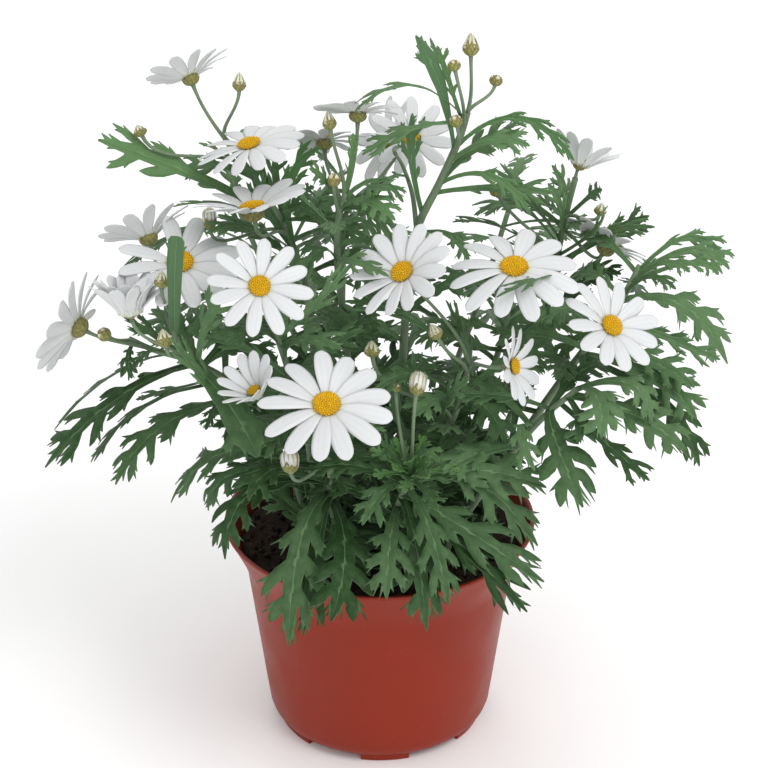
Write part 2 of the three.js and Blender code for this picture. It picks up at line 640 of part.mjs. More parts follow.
// The rows of one petal, from its side of the ring at the disc's edge to its end
function petalRows(bloom, number, k, swing) {
  const from = hubRadius(bloom);
  const ringAngle = (share) => (2 * Math.PI * share) / bloom.petals;
  const onRing = (share) => new THREE.Vector3(from, 0, 0).applyAxisAngle(UP, ringAngle(share));
  const base = { right: onRing(k), left: onRing(k + 1), normal: UP };
  const middleAngle = ringAngle(k + 0.5 + PETAL.shift * jitter(number * 31, k));
  const rise = radians(bloom.cup + swing + PETAL.nod * jitter(number * 41, k));
  const outward = new THREE.Vector3(Math.cos(middleAngle), Math.sin(middleAngle), 0);
  const along = outward.clone().multiplyScalar(Math.cos(rise)).addScaledVector(UP, Math.sin(rise));
  const side = new THREE.Vector3().crossVectors(along, UP).normalize();
  side.applyAxisAngle(along, radians(PETAL.twist));
  const normal = new THREE.Vector3().crossVectors(side, along);
  const start = outward.clone().multiplyScalar(from * Math.cos(ringAngle(0.5)));
  const length = (bloom.diameter / 2 - from) * (1 + PETAL.stretch * jitter(number * 37, k));
  const row = ([share, reach, lift]) => {
    const middle = start.clone().addScaledVector(along, share * length);
    middle.addScaledVector(normal, lift * length);
    const half = (reach * PETAL.width * bloom.diameter) / 2;
    const right = middle.clone().addScaledVector(side, half);
    const left = middle.clone().addScaledVector(side, -half);
    return { right, left, normal };
  };
  return [base, ...PETAL_ROWS.map(row)];
}

// The ring of petals is one sheet: a many-sided hub with a petal on each of its sides
function petalRing(bloom, number, swings) {
  const corners = [];
  const add = (point, normal) => corners.push({ point, normal }) - 1;
  const faces = [];
  const outline = [];
  const hub = swings.map((swing, k) => add(petalRows(bloom, number, k, 0)[0].right, UP));
  for (let k = 1; k < hub.length - 1; k += 1) faces.push([hub[0], hub[k], hub[k + 1]]);
  swings.forEach((swing, k) => {
    outline.push(hub[k]);
    if (swing === undefined) return;
    let [right, left] = [hub[k], hub[(k + 1) % hub.length]];
    const leftEdge = [];
    petalRows(bloom, number, k, swing).slice(1).forEach((row) => {
      const [nextRight, nextLeft] = [add(row.right, row.normal), add(row.left, row.normal)];
      faces.push([right, nextRight, left], [nextRight, nextLeft, left]);
      outline.push(nextRight);
      leftEdge.unshift(nextLeft);
      [right, left] = [nextRight, nextLeft];
    });
    outline.push(...leftEdge);
  });
  return sheet(corners, faces, outline, PETAL.thickness).translate(0, 0, HUB.height / 2);
}

function placeBloom(number, bloom) {
  const label = `bloom_${String(number).padStart(2, '0')}`;
  const frame = axisFrame(bloom.centre, bloom.axis);
  const shoot = `shoot_${STEMS[bloom.stem].shoot}`;
  place(shoot, solid(cup(bloom).applyMatrix4(frame)));
  place(`${label}_disc`, solid(disc(bloom).applyMatrix4(frame)));
}

function placePetals(number, bloom) {
  const node = `bloom_${String(number).padStart(2, '0')}_petals`;
  const frame = axisFrame(bloom.centre, bloom.axis);
  const single = (k, swing) => {
    const rows = petalRows(bloom, number, k, swing);
    const piece = blade(rows, [], null, PETAL.thickness + 2 * GAP).translate(0, 0, HUB.height / 2);
    return solid(piece.applyMatrix4(frame));
  };
  const swings = [];
  for (let k = 0; k < bloom.petals; k += 1) {
    swings.push(CUP_SWINGS.find((degrees) => isClear(node, single(k, degrees))));
  }
  place(node, solid(petalRing(bloom, number, swings).applyMatrix4(frame)));
}

// Buds sit on stalks of their own and belong to their shoot
function placeBud(bud) {
  const node = `shoot_${STEMS[bud.stem].shoot}`;
  const frame = axisFrame(bud.centre, bud.axis);
  const profile = BUD_PROFILES[bud.kind].map(([r, z]) => [(r * bud.width) / 2, z * bud.height]);
  place(node, solid(lathe(profile, BUD.segments, BUD.relief).applyMatrix4(frame)));
  const foot = bud.centre.clone().addScaledVector(bud.axis, -bud.height / 2);
  placeStalk(node, bud.stem, bud.at, foot, bud.axis);
}

// A leaf: narrow at the base, then pairs of lobes swept forward and a pointed end
function leaf(spec, number, swing, grow, thickness, fromRow = 0) {
  const start = curves[spec.stem].getPoint(spec.at);
  const tip = spec.tip.clone().addScaledVector(SWING_LINE, swing);
  const bend = start.clone().lerp(tip, 0.5).add(spec.bend).addScaledVector(SWING_LINE, swing / 2);
  const rib = new THREE.QuadraticBezierCurve3(start, bend, tip);
  const chord = tip.clone().sub(start).normalize();
  const faceTo = spec.tip.y > LEAF.backFrom ? FACING_BACK : FACING_FRONT;
  const side = new THREE.Vector3().crossVectors(chord, faceTo).normalize();
  side.applyAxisAngle(chord, radians(spec.roll));
  const half = spec.width / 2;
  const at = (share, reach, droop) => {
    const along = rib.getTangent(share);
    const across = side.clone().addScaledVector(along, -side.dot(along)).normalize();
    const normal = new THREE.Vector3().crossVectors(across, along);
    const point = rib.getPoint(share).addScaledVector(normal, -droop);
    return { point, across, normal, reach };
  };
  const edge = ({ point, across, reach }, sign) => point.clone().addScaledVector(across, sign * reach);
  const pattern = LEAF_PATTERNS[spec.pairs];
  const rows = pattern.rows.map(([share, reach]) => {
    const station = at(share, Math.max(reach * spec.width, LEAF.leastHalf) + grow, 0);
    return { right: edge(station, 1), left: edge(station, -1), normal: station.normal };
  });
  const lobes = pattern.lobes.map((lobe, i) => {
    if (!lobe) return null;
    const [share, reach] = lobe;
    const ends = [1, -1].map((sign) => {
      const place = share + LEAF.shift * jitter(number, 10 * i + sign + 2);
      const lobeReach = reach * half * (1 + LEAF.stretch * jitter(number, 10 * i + sign + 5));
      return edge(at(Math.min(place, 0.99), lobeReach + grow, LEAF.lobeDroop * half), sign);
    });
    return { right: ends[0], left: ends[1] };
  });
  return blade(rows.slice(fromRow), lobes.slice(fromRow), tip, thickness);
}

// A leaf keeps clear of other nodes, and its lobed part also of its own shoot where it can
function placeLeaf(spec, number) {
  const node = `shoot_${STEMS[spec.stem].shoot}`;
  const room = LEAF.thickness + 2 * GAP;
  const fat = (swing, fromRow) => solid(leaf(spec, number, swing, 1.5 * GAP, room, fromRow));
  const clear = SWINGS.filter((distance) => isClear(node, fat(distance, 0)));
  const swing = clear.find((distance) => isClear('', fat(distance, 1))) ?? clear[0];
  if (swing !== undefined) place(node, solid(leaf(spec, number, swing, 0, LEAF.thickness)));
}

// The whole plant, from the pot outwards

place('pot', pot());
place('soil', soil());
Object.keys(STEMS).forEach((name) => place(`shoot_${STEMS[name].shoot}`, stem(name)));
BLOOMS.forEach((bloom, i) => placeBloom(i + 1, bloom));
BLOOMS.forEach((bloom) => {
  const end = bloom.centre.clone().addScaledVector(bloom.axis, -discRadius(bloom) * CUP.height - GAP);
  placeStalk(`shoot_${STEMS[bloom.stem].shoot}`, bloom.stem, bloom.at, end, bloom.axis);
});
BUDS.forEach(placeBud);
BLOOMS.forEach((bloom, i) => placePetals(i + 1, bloom));
LEAVES.forEach(placeLeaf);

const LOOKS = {
  pot: { color: COLOUR.pot, roughness: 0.5 },
  soil: { color: COLOUR.soil, roughness: 1 },
  shoot: { color: COLOUR.green, roughness: 0.6 },
  petals: { color: COLOUR.petal, roughness: 0.7 },
  disc: { color: COLOUR.disc, roughness: 0.9 },
};

function mesh(name, piece, look) {
  const { vertProperties, triVerts } = piece.getMesh();
  const geometry = new THREE.BufferGeometry();
  geometry.setAttribute('position', new THREE.BufferAttribute(vertProperties, 3));
  geometry.setIndex(new THREE.BufferAttribute(triVerts, 1));
  const made = new THREE.Mesh(geometry, new THREE.MeshStandardMaterial({ ...look, metalness: 0 }));
  made.name = name;
  return made;
}

const plant = new THREE.Group();
plant.name = 'marguerite_daisy_in_pot';
new Set(placed.map((piece) => piece.node)).forEach((node) => {
  const kind = Object.keys(LOOKS).find((word) => node.startsWith(word) || node.endsWith(word));
  plant.add(mesh(node, nodeSolid(node), LOOKS[kind]));
});

export default plant;
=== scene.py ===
"""A potted marguerite daisy: the finished look of each piece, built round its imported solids."""

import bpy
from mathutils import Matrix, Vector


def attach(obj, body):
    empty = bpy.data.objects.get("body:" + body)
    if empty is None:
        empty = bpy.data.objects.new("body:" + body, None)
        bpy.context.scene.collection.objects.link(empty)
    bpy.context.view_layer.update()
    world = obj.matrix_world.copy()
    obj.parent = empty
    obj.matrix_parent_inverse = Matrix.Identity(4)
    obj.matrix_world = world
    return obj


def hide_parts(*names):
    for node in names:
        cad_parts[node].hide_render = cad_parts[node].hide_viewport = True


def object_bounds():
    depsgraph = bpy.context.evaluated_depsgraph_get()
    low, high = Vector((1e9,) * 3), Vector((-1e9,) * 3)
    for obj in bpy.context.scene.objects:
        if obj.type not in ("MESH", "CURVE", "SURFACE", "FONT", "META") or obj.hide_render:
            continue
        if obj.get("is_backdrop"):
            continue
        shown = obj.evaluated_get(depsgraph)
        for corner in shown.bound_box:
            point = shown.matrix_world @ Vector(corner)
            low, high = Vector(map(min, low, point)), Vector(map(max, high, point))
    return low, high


bl_info = {
    "name": "Potted marguerite daisy",
    "version": (1, 0, 0),
    "blender": (4, 5, 0),
    "location": "View3D > Sidebar > Marguerite",
    "description": "Builds the pot, soil, stems, leaves, buds and blooms round the packed solids",
    "category": "Add Mesh",
}

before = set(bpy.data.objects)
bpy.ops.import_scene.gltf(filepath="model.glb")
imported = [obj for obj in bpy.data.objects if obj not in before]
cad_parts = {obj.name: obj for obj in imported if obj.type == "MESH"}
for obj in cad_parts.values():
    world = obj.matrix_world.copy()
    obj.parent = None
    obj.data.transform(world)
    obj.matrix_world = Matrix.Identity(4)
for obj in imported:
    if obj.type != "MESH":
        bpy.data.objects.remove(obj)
cad_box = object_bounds()

import math
import random
from collections import defaultdict, namedtuple
from functools import cache

import bmesh
import bpy
from bpy.props import FloatProperty, FloatVectorProperty, IntProperty, PointerProperty
from mathutils import Matrix, Vector, noise
from mathutils.kdtree import KDTree

MM = 0.001
UP = Vector((0, 0, 1))

# The solids' own sizes in millimetres, as the source of the part states them
GAP = 0.35
LEAF_BACK_FROM = 55
LEAF_SHIFT = 0.03
LEAF_STRETCH = 0.15
HUB_SHARE = 0.115
HUB_OVERHANG = 0.4
HUB_HEIGHT = 1.2
DISC_INSET = 1.2
DISC_HEIGHT = 0.46
WIDE_OPEN = 30
CUP_RADIUS = 0.98
CUP_HEIGHT = 0.95
STALK_RADIUS = 1.2
STALK_LEAD = 0.35
STALK_SINK = 1
PETAL_WIDTH = 0.155
PETAL_TWIST = 12
PETAL_SHIFT = 0.08
PETAL_NOD = 3
PETAL_STRETCH = 0.05
SWING_LINE = Vector((0, 0.889, -0.457))
SWINGS = (0, 5, -5, 10, -10, 15, -15, 20, -20)
CUP_SWINGS = (0, 7, -7, 14, -14, 21)
FACING_FRONT = Vector((0, -0.6, 0.8))
FACING_BACK = Vector((0, 0.6, 0.8))
FACING_CAMERA = Vector((0, -0.89, 0.457))

# Stems: radius, the x and y where it stands in the soil, or none where it forks from another
# stem, and the points above that its centre line runs through
FOOT_HEIGHTS = (84, 91, 98)
STEMS = {
    "a0": (2.3, (8, 6), (
        (10, 6, 121), (10, 8, 166), (12, 8, 205), (16, 8, 238), (26, 8, 261), (34, 8, 281),
        (37, 8, 292),
    )),
    "a1": (1.5, None, ((16, 8, 239), (14, 14, 253), (10, 20, 263), (7, 26, 266))),
    "b0": (2.1, (-13, 4), (
        (-12, 2, 139), (-15, 0, 194), (-18, -4, 232), (-17, -2, 250), (-14, 0, 259),
    )),
    "b1": (1.7, None, ((-16, -1, 209), (-14, 12, 245), (0, 30, 253), (7, 44, 257))),
    "c0": (2.1, (-26, 16), (
        (-28, 16, 152), (-32, 18, 205), (-39, 20, 228), (-50, 24, 249), (-60, 30, 262),
        (-67, 36, 269),
    )),
    "d0": (2.1, (-33, -6), (
        (-39, -14, 133), (-54, -26, 160), (-71, -34, 185), (-84, -34, 202), (-87, -34, 217),
    )),
    "e0": (1.9, (-37, 14), (
        (-43, 10, 135), (-62, 2, 165), (-81, -6, 182), (-98, -12, 191), (-107, -16, 198),
    )),
    "f0": (2.0, (-17, -24), ((-21, -38, 131), (-21, -52, 159), (-24, -62, 174))),
    "g0": (2.0, (8, -27), ((7, -46, 128), (11, -56, 147), (13, -60, 156))),
    "h0": (2.0, (26, -14), ((23, -20, 136), (33, -30, 171), (37, -36, 191))),
    "i0": (1.9, (30, 4), ((40, 4, 138), (52, -4, 187), (56, -16, 216))),
    "j0": (2.1, (36, 22), (
        (55, 30, 124), (71, 34, 173), (78, 32, 212), (82, 30, 238), (85, 28, 254),
    )),
    "k0": (2.1, (40, -4), (
        (59, -8, 139), (81, -16, 182), (94, -16, 202), (106, -12, 220), (111, -8, 229),
    )),
    "l0": (1.9, (30, -24), ((48, -40, 142), (68, -50, 177), (83, -54, 194))),
    "m0": (1.9, (-29, -16), ((-31, -24, 153), (-40, -30, 195), (-46, -34, 217))),
    "n0": (1.9, (-16, 32), ((-26, 46, 135), (-48, 68, 180), (-64, 82, 214))),
    "o0": (1.9, (20, 38), ((30, 52, 135), (48, 72, 180), (60, 86, 216))),
    "p0": (1.9, (-1, 48), ((-1, 60, 130), (-4, 82, 178), (-8, 94, 212))),
}

# Blooms: stem, place along it, centre x y z, direction x y z, diameter, petals, cup angle
BLOOM_ROWS = (
    ("c0", 0.99, -82, 46, 294, -0.34, 0.55, 0.76, 40, 11, 18),
    ("c0", 0.75, -55, 14, 274, -0.21, -0.08, 0.97, 47, 13, -4),
    ("c0", 0.62, -53, -12, 256, -0.15, 0.17, 0.97, 50, 12, 18),
    ("m0", 0.99, -49, -52, 239, 0.15, -0.68, 0.72, 44, 12, 4),
    ("d0", 0.86, -99, 2, 238, -0.33, 0.56, 0.76, 43, 11, 24),
    ("d0", 0.99, -84, -16, 233, 0.06, -0.42, 0.9, 54, 12, 4),
    ("d0", 0.81, -104, -34, 220, -0.1, 0.16, 0.98, 44, 11, 52),
    ("e0", 0.85, -129, -18, 205, -0.87, 0.38, 0.31, 50, 12, 12),
    ("m0", 0.70, -51, -64, 197, -0.42, -0.34, 0.84, 36, 11, 50),
    ("f0", 0.99, -21, -88, 203, 0.0, -0.46, 0.89, 55, 13, 0),
    ("h0", 1.00, 10, -45, 242, -0.42, -0.47, 0.77, 46, 13, 12),
    ("i0", 1.00, 55, -50, 246, 0.0, -0.31, 0.95, 55, 12, -10),
    ("k0", 0.72, 95, -52, 221, 0.42, -0.52, 0.74, 45, 12, 8),
    ("h0", 1.00, 54, -66, 210, 0.87, -0.39, 0.31, 34, 11, 18),
    ("b0", 1.00, -9, 10, 291, 0.02, 0.5, 0.87, 40, 11, 6),
    ("b0", 0.85, -24, 38, 267, -0.05, 0.62, 0.77, 38, 10, -2),
    ("a1", 0.99, 14, 46, 265, 0.1, -0.7, 0.7, 39, 11, 8),
    ("b1", 1.00, 5, 74, 253, -0.72, 0.69, 0.11, 42, 10, 8),
    ("j0", 1.00, 87, 30, 260, 0.37, 0.38, 0.85, 40, 10, 44),
    ("j0", 0.79, 99, 18, 226, 0.5, 0.48, 0.72, 43, 11, 8),
)

# Buds: stem, place along it, centre x y z, direction x y z, width, height, and kind:
# 0 closed, 1 pointed, 2 opening
BUD_ROWS = (
    ("a0", 1.00, 38, 8, 322, 0.0, 0.46, 0.89, 7.8, 10.4, 1),
    ("a0", 0.89, 31, 2, 315, -0.2, 0.45, 0.87, 6.1, 5.2, 0),
    ("a0", 0.99, 49, 14, 304, 0.2, 0.45, 0.87, 6.1, 5.2, 0),
    ("a0", 0.83, 32, -2, 292, -0.2, 0.45, 0.87, 5.7, 5.7, 0),
    ("c0", 0.98, -60, 34, 296, 0.0, 0.46, 0.89, 6.5, 8.7, 1),
    ("c0", 0.82, -102, 18, 280, -0.41, 0.42, 0.81, 6.5, 5.7, 1),
    ("b0", 0.91, -21, 4, 290, -0.15, 0.45, 0.88, 6.5, 8.7, 1),
    ("b0", 0.82, -19, -8, 268, 0.0, 0.46, 0.89, 6.1, 6.1, 0),
    ("c0", 0.63, -72, -2, 248, -0.05, 0.46, 0.89, 6.5, 9.6, 2),
    ("d0", 0.99, -90, -38, 236, 0.0, 0.46, 0.89, 7.0, 7.4, 1),
    ("e0", 0.96, -117, -22, 203, -0.87, 0.23, 0.44, 6.5, 6.5, 0),
    ("d0", 0.81, -89, -48, 214, -0.22, 0.45, 0.87, 7.8, 8.3, 1),
    ("h0", 0.74, -3, -46, 208, -0.05, 0.46, 0.89, 7.4, 7.4, 1),
    ("h0", 0.98, 23, -50, 218, -0.45, 0.41, 0.8, 6.5, 7.4, 1),
    ("g0", 0.89, 16, -56, 197, 0.15, 0.45, 0.88, 7.8, 10.4, 2),
    ("f0", 0.76, -37, -72, 169, -0.1, 0.45, 0.89, 8.3, 10.4, 2),
    ("j0", 0.83, 96, 22, 242, 0.22, 0.45, 0.87, 6.1, 6.1, 1),
    ("j0", 0.69, 50, 16, 253, -0.5, 0.4, 0.77, 5.7, 5.2, 0),
    ("g0", 0.77, 7, -52, 193, 0.0, 0.46, 0.89, 4.3, 4.3, 0),
)

# Leaves: stem, place along it, tip x y z, bend of the rib in x and z, width, roll, pairs of lobes
LEAVES = (
    ("a0", 0.85, 15, 2, 328, 5, 4, 9, 5, 1),
    ("a0", 0.82, 63, -2, 281, 0, 13, 10, 20, 2),
    ("a0", 0.75, 75, 4, 257, -3, 5, 10, 25, 2),
    ("a0", 0.95, -7, -2, 277, 0, 9, 11, 20, 2),
    ("a0", 0.70, 14, 6, 293, -5, 3, 10, 10, 2),
    ("b0", 0.90, -29, -10, 274, 0, 5, 10, 20, 2),
    ("b0", 0.69, -35, -22, 228, 4, 22, 11, 10, 2),
    ("c0", 0.68, -119, 6, 281, -3, 7, 21, 10, 2),
    ("c0", 0.60, -54, 12, 271, -10, 3, 11, 10, 2),
    ("c0", 0.56, -45, 30, 265, -8, 13, 10, 15, 2),
    ("c0", 0.54, -25, 22, 271, -20, 19, 11, 20, 2),
    ("c0", 0.59, -73, -10, 244, -1, 15, 10, 15, 2),
    ("d0", 0.58, -86, -56, 218, 2, -6, 11, 5, 2),
    ("d0", 0.79, -108, -44, 223, 10, -6, 10, 20, 2),
    ("d0", 0.77, -63, -46, 235, -6, 1, 12, 10, 2),
    ("e0", 0.70, -147, -16, 135, -1, 18, 20, 15, 3),
    ("e0", 0.59, -128, -6, 132, -10, 19, 12, 40, 2),
    ("e0", 0.54, -115, -28, 133, -14, 17, 18, 15, 3),
    ("e0", 0.79, -145, 6, 142, -1, 15, 10, 50, 2),
    ("f0", 0.70, -90, -40, 131, -12, 39, 17, 20, 3),
    ("f0", 0.68, -73, -58, 137, -24, 24, 15, 10, 3),
    ("f0", 0.67, -65, -74, 123, -22, 28, 19, 10, 3),
    ("f0", 0.64, -38, -96, 94, -7, 27, 25, 0, 3),
    ("f0", 0.62, -32, -88, 94, 1, 20, 17, 15, 2),
    ("f0", 0.61, -20, -98, 108, 12, 8, 26, 0, 3),
    ("f0", 0.74, -54, -80, 155, -12, 16, 15, 0, 2),
    ("g0", 0.67, 3, -92, 115, -2, 11, 20, 0, 3),
    ("g0", 0.73, 20, -98, 102, 1, 19, 19, 0, 3),
    ("g0", 0.76, 69, -84, 118, -19, 17, 20, 5, 3),
    ("g0", 0.81, 67, -68, 126, 0, 35, 19, 10, 3),
    ("g0", 0.89, 70, -56, 148, -1, 14, 19, 15, 3),
    ("g0", 0.95, 65, -44, 156, -1, 16, 16, 20, 3),
    ("g0", 0.86, -7, -90, 149, 0, 14, 13, 0, 2),
    ("g0", 0.84, 29, -94, 113, 2, 14, 16, 0, 3),
    ("h0", 0.76, 55, -46, 161, -2, 31, 15, 0, 3),
    ("h0", 0.67, 37, -52, 197, -6, 9, 11, 0, 2),
    ("h0", 0.63, 6, -58, 203, -14, -3, 11, 0, 2),
    ("h0", 0.95, -15, -40, 227, 12, 18, 10, 18, 2),
    ("h0", 0.86, -3, -60, 193, -4, 23, 10, 0, 2),
    ("h0", 0.71, 14, -54, 211, -8, -5, 10, 5, 2),
    ("i0", 0.88, 40, -62, 235, -10, 26, 12, 10, 2),
    ("i0", 0.93, 47, -72, 246, 35, 26, 10, 20, 2),
    ("i0", 0.80, 28, -20, 218, -2, -13, 10, 10, 2),
    ("i0", 0.80, 72, -40, 228, 12, 6, 10, 0, 2),
    ("i0", 0.69, 35, -30, 214, -3, -2, 10, 10, 2),
    ("j0", 0.75, 41, 8, 246, 2, 23, 11, 25, 2),
    ("j0", 0.77, 49, 22, 261, 2, 4, 10, 20, 2),
    ("j0", 0.82, 74, 22, 262, 6, -2, 10, 10, 2),
    ("j0", 0.75, 72, 10, 259, 7, 2, 10, 0, 2),
    ("j0", 0.73, 95, 8, 244, 10, 2, 10, 10, 2),
    ("j0", 0.71, 117, 2, 249, 9, 7, 12, 20, 2),
    ("k0", 0.94, 148, 0, 229, 2, 26, 9, 45, 2),
    ("k0", 0.92, 149, -8, 227, 6, 22, 11, 30, 2),
    ("k0", 0.89, 143, -18, 229, 12, 15, 8, 40, 2),
    ("k0", 0.87, 130, -26, 234, 1, 15, 7, 30, 2),
    ("k0", 0.83, 124, -30, 228, -1, 15, 7, 45, 2),
    ("k0", 0.81, 149, -22, 189, 7, 25, 17, 10, 3),
    ("k0", 0.77, 144, -34, 197, 2, -1, 9, 50, 2),
    ("k0", 0.74, 133, -24, 198, 1, 4, 9, 40, 2),
    ("k0", 0.67, 133, -40, 187, 7, 4, 15, 15, 3),
    ("k0", 0.63, 134, -50, 177, 13, 9, 18, 10, 3),
    ("k0", 0.62, 137, -42, 150, 17, 11, 16, 15, 3),
    ("l0", 1.00, 91, -78, 183, 6, 12, 19, 0, 3),
    ("l0", 0.95, 128, -64, 170, 3, 8, 20, 5, 3),
    ("l0", 0.85, 84, -84, 154, -10, 18, 23, 0, 3),
    ("l0", 0.90, 114, -58, 152, -1, 1, 11, 30, 2),
    ("l0", 0.98, 113, -62, 181, 13, 22, 15, 0, 3),
    ("l0", 0.77, 64, -80, 169, -12, 17, 11, 0, 2),
    ("l0", 0.94, 81, -80, 182, 6, 0, 13, 0, 2),
    ("m0", 0.65, -62, -44, 196, -4, -4, 11, 10, 2),
    ("m0", 0.80, -15, -58, 214, -11, 13, 12, 10, 2),
    ("m0", 0.86, -63, -50, 212, 1, 14, 11, 10, 2),
    ("m0", 0.74, -6, -40, 214, -7, 5, 11, 10, 2),
    ("n0", 0.95, -118, 70, 190, -4, 18, 16, 0, 3),
    ("n0", 0.9, -100, 104, 192, 0, 16, 16, 0, 3),
    ("n0", 0.99, -74, 112, 226, 0, 12, 14, 0, 3),
    ("n0", 0.8, -108, 84, 150, 0, 20, 18, 0, 3),
    ("n0", 0.72, -60, 108, 138, 0, 20, 18, 0, 3),
    ("o0", 0.95, 116, 74, 194, 4, 18, 16, 0, 3),
    ("o0", 0.9, 94, 104, 190, 0, 16, 16, 0, 3),
    ("o0", 0.99, 68, 111, 230, 0, 12, 14, 0, 3),
    ("o0", 0.8, 104, 88, 150, 0, 20, 18, 0, 3),
    ("o0", 0.72, 58, 112, 140, 0, 20, 18, 0, 3),
    ("p0", 0.99, -34, 112, 236, -4, 10, 14, 0, 3),
    ("p0", 0.9, -38, 114, 178, 0, 18, 16, 0, 3),
    ("p0", 0.85, 24, 114, 172, 0, 18, 16, 0, 3),
    ("p0", 0.7, -28, 112, 132, 0, 22, 18, 0, 3),
    ("p0", 0.62, 24, 108, 120, 0, 22, 18, 0, 3),
    ("d0", 0.92, -82, -44, 258, -1, -3, 12, 0, 0),
    ("d0", 0.82, -50, -74, 172, 4, 6, 20, 0, 1),
    ("j0", 0.60, 77, -10, 231, 0, 8, 14, 0, 3),
    ("j0", 0.56, 98, 0, 224, 0, 10, 14, 0, 3),
    ("g0", 0.72, 62, -90, 107, -8, 16, 15, 5, 2),
)

# Small leaves that only this finished look has
SMALL_LEAVES = (
    ("a0", 0.94, 24, 12, 320, -2, 5, 8, 20, 2),
    ("a0", 0.97, -10, -4, 297, 0, 26, 8, 40, 2),
    ("a0", 0.86, 83, 14, 268, 1, 33, 8, 50, 3),
    ("a0", 0.77, 64, -8, 252, 4, 22, 8, 30, 3),
    ("a1", 0.48, -6, 8, 249, 4, 14, 8, 20, 2),
    ("a0", 0.66, 38, -10, 231, 7, 12, 9, 10, 2),
    ("b0", 0.87, 8, -14, 235, 3, 19, 9, 20, 3),
    ("b0", 0.95, 10, -8, 258, 2, 19, 7, 45, 2),
    ("b0", 0.82, 1, -16, 237, 5, 16, 7, 30, 2),
    ("b0", 0.79, -33, -12, 262, -1, 1, 7, 40, 2),
    ("b0", 0.65, 4, -52, 244, -16, 19, 9, 30, 3),
    ("b0", 0.98, -11, 2, 285, 2, 4, 4, 10, 2),
    ("c0", 0.65, -88, 6, 250, 2, 12, 7, 55, 2),
    ("c0", 0.76, -79, 44, 264, 1, 6, 6, 40, 2),
    ("c0", 0.67, -28, 14, 256, 3, 8, 6, 30, 2),
    ("d0", 0.68, -73, -50, 172, 0, 3, 6, 10, 2),
    ("e0", 0.62, -108, 6, 157, -1, 0, 9, 45, 2),
    ("e0", 0.81, -105, -24, 188, 0, 8, 6, 20, 2),
    ("g0", 0.99, 25, -78, 172, -4, 16, 8, 0, 2),
    ("g0", 0.95, 24, -88, 155, 2, 2, 9, 0, 2),
    ("g0", 0.98, 0, -74, 180, 0, 3, 9, 0, 2),
    ("j0", 0.83, 96, 20, 252, 5, 7, 8, 10, 2),
    ("j0", 0.70, 29, 2, 234, -2, 16, 9, 40, 3),
    ("j0", 0.71, 32, 26, 234, 0, 14, 8, 50, 2),
    ("j0", 0.68, 119, 14, 237, -3, 17, 8, 50, 2),
    ("m0", 0.91, -11, -34, 242, -12, -18, 9, 30, 3),
    ("i0", 0.93, 47, -76, 246, 35, 26, 10, 20, 2),
    ("k0", 0.90, 122, 16, 210, 4, 10, 13, 10, 3),
    ("k0", 0.82, 84, 12, 214, -2, 12, 12, 0, 3),
    ("k0", 0.74, 72, 8, 196, -2, 12, 12, 10, 3),
    ("k0", 0.95, 90, 22, 232, -2, 8, 11, 0, 3),
    ("k0", 0.84, 114, 22, 198, 2, 12, 13, 0, 3),
    ("k0", 0.70, 76, -8, 178, -2, 12, 11, 0, 3),
    ("j0", 0.66, 106, 20, 212, 4, 8, 12, 0, 3),
    ("e0", 0.96, -106, -24, 183, -4, 4, 9, 20, 2),
    ("j0", 0.84, 70, 22, 244, -4, 4, 10, 20, 3),
    ("j0", 0.72, 64, 20, 224, -2, 8, 11, 0, 3),
    ("j0", 0.78, 86, 12, 238, 3, 8, 10, 0, 3),
)


def jitter(a, b):
    """A repeatable number from -1 to 1 for piece a, detail b, as the solids have it."""
    n = ((a * 7919) ^ (b * 104729)) & 0xFFFFFFFF
    for _ in range(2):
        n = (n * 1664525 + 1013904223) & 0xFFFFFFFF
    return n / 2147483648 - 1


def blend_points(table, share):
    """A value from a table of (share, value) rows, in straight lines between them."""
    for (s0, v0), (s1, v1) in zip(table, table[1:]):
        if share <= s1:
            return v0 + (v1 - v0) * (share - s0) / (s1 - s0)
    return table[-1][1]


def shares(steps):
    """Even steps from 0 to 1, with both ends."""
    return [i / steps for i in range(steps + 1)]


def polar(radius, turn, height=0):
    """The point at a radius and a turn about the upright axis."""
    return Vector((radius * math.cos(turn), radius * math.sin(turn), height))


class Curve:
    """A line through space, with a point for each t from 0 to 1."""

    def tangent(self, t):
        """The line's direction at t."""
        step = 0.0001
        return (self.point(min(t + step, 1)) - self.point(max(t - step, 0))).normalized()

    def trace(self, steps):
        """Points along the line, at even steps of t."""
        return [self.point(share) for share in shares(steps)]

    def length(self):
        points = self.trace(24)
        return sum((b - a).length for a, b in zip(points, points[1:]))

    def middle(self):
        """The point at half of the line's length."""
        points = self.trace(200)
        lengths = [(b - a).length for a, b in zip(points, points[1:])]
        left = 0.5 * sum(lengths)
        for a, b, length in zip(points, points[1:], lengths):
            if left <= length:
                return a.lerp(b, left / length)
            left -= length


class StemCurve(Curve):
    """The smooth centre line of a stem, through all its points."""

    def __init__(self, foot, path):
        upright = [(*foot, height) for height in FOOT_HEIGHTS] if foot else []
        self.points = [Vector(p) for p in (*upright, *path)]

    def point(self, t):
        points = self.points
        count = len(points)
        place = (count - 1) * min(max(t, 0), 1)
        i = min(int(place), count - 2)
        w = place - i
        p1, p2 = points[i], points[i + 1]
        p0 = points[i - 1] if i > 0 else 2 * p1 - p2
        p3 = points[i + 2] if i + 2 < count else 2 * p2 - p1
        gaps = [math.sqrt((b - a).length) for a, b in ((p0, p1), (p1, p2), (p2, p3))]
        start = (p1 - p0) / gaps[0] - (p2 - p0) / (gaps[0] + gaps[1]) + (p2 - p1) / gaps[1]
        end = (p2 - p1) / gaps[1] - (p3 - p1) / (gaps[1] + gaps[2]) + (p3 - p2) / gaps[2]
        start, end = start * gaps[1], end * gaps[1]
        square = (-3 * p1 + 3 * p2 - 2 * start - end) * w * w
        return p1 + start * w + square + (2 * p1 - 2 * p2 + start + end) * w**3


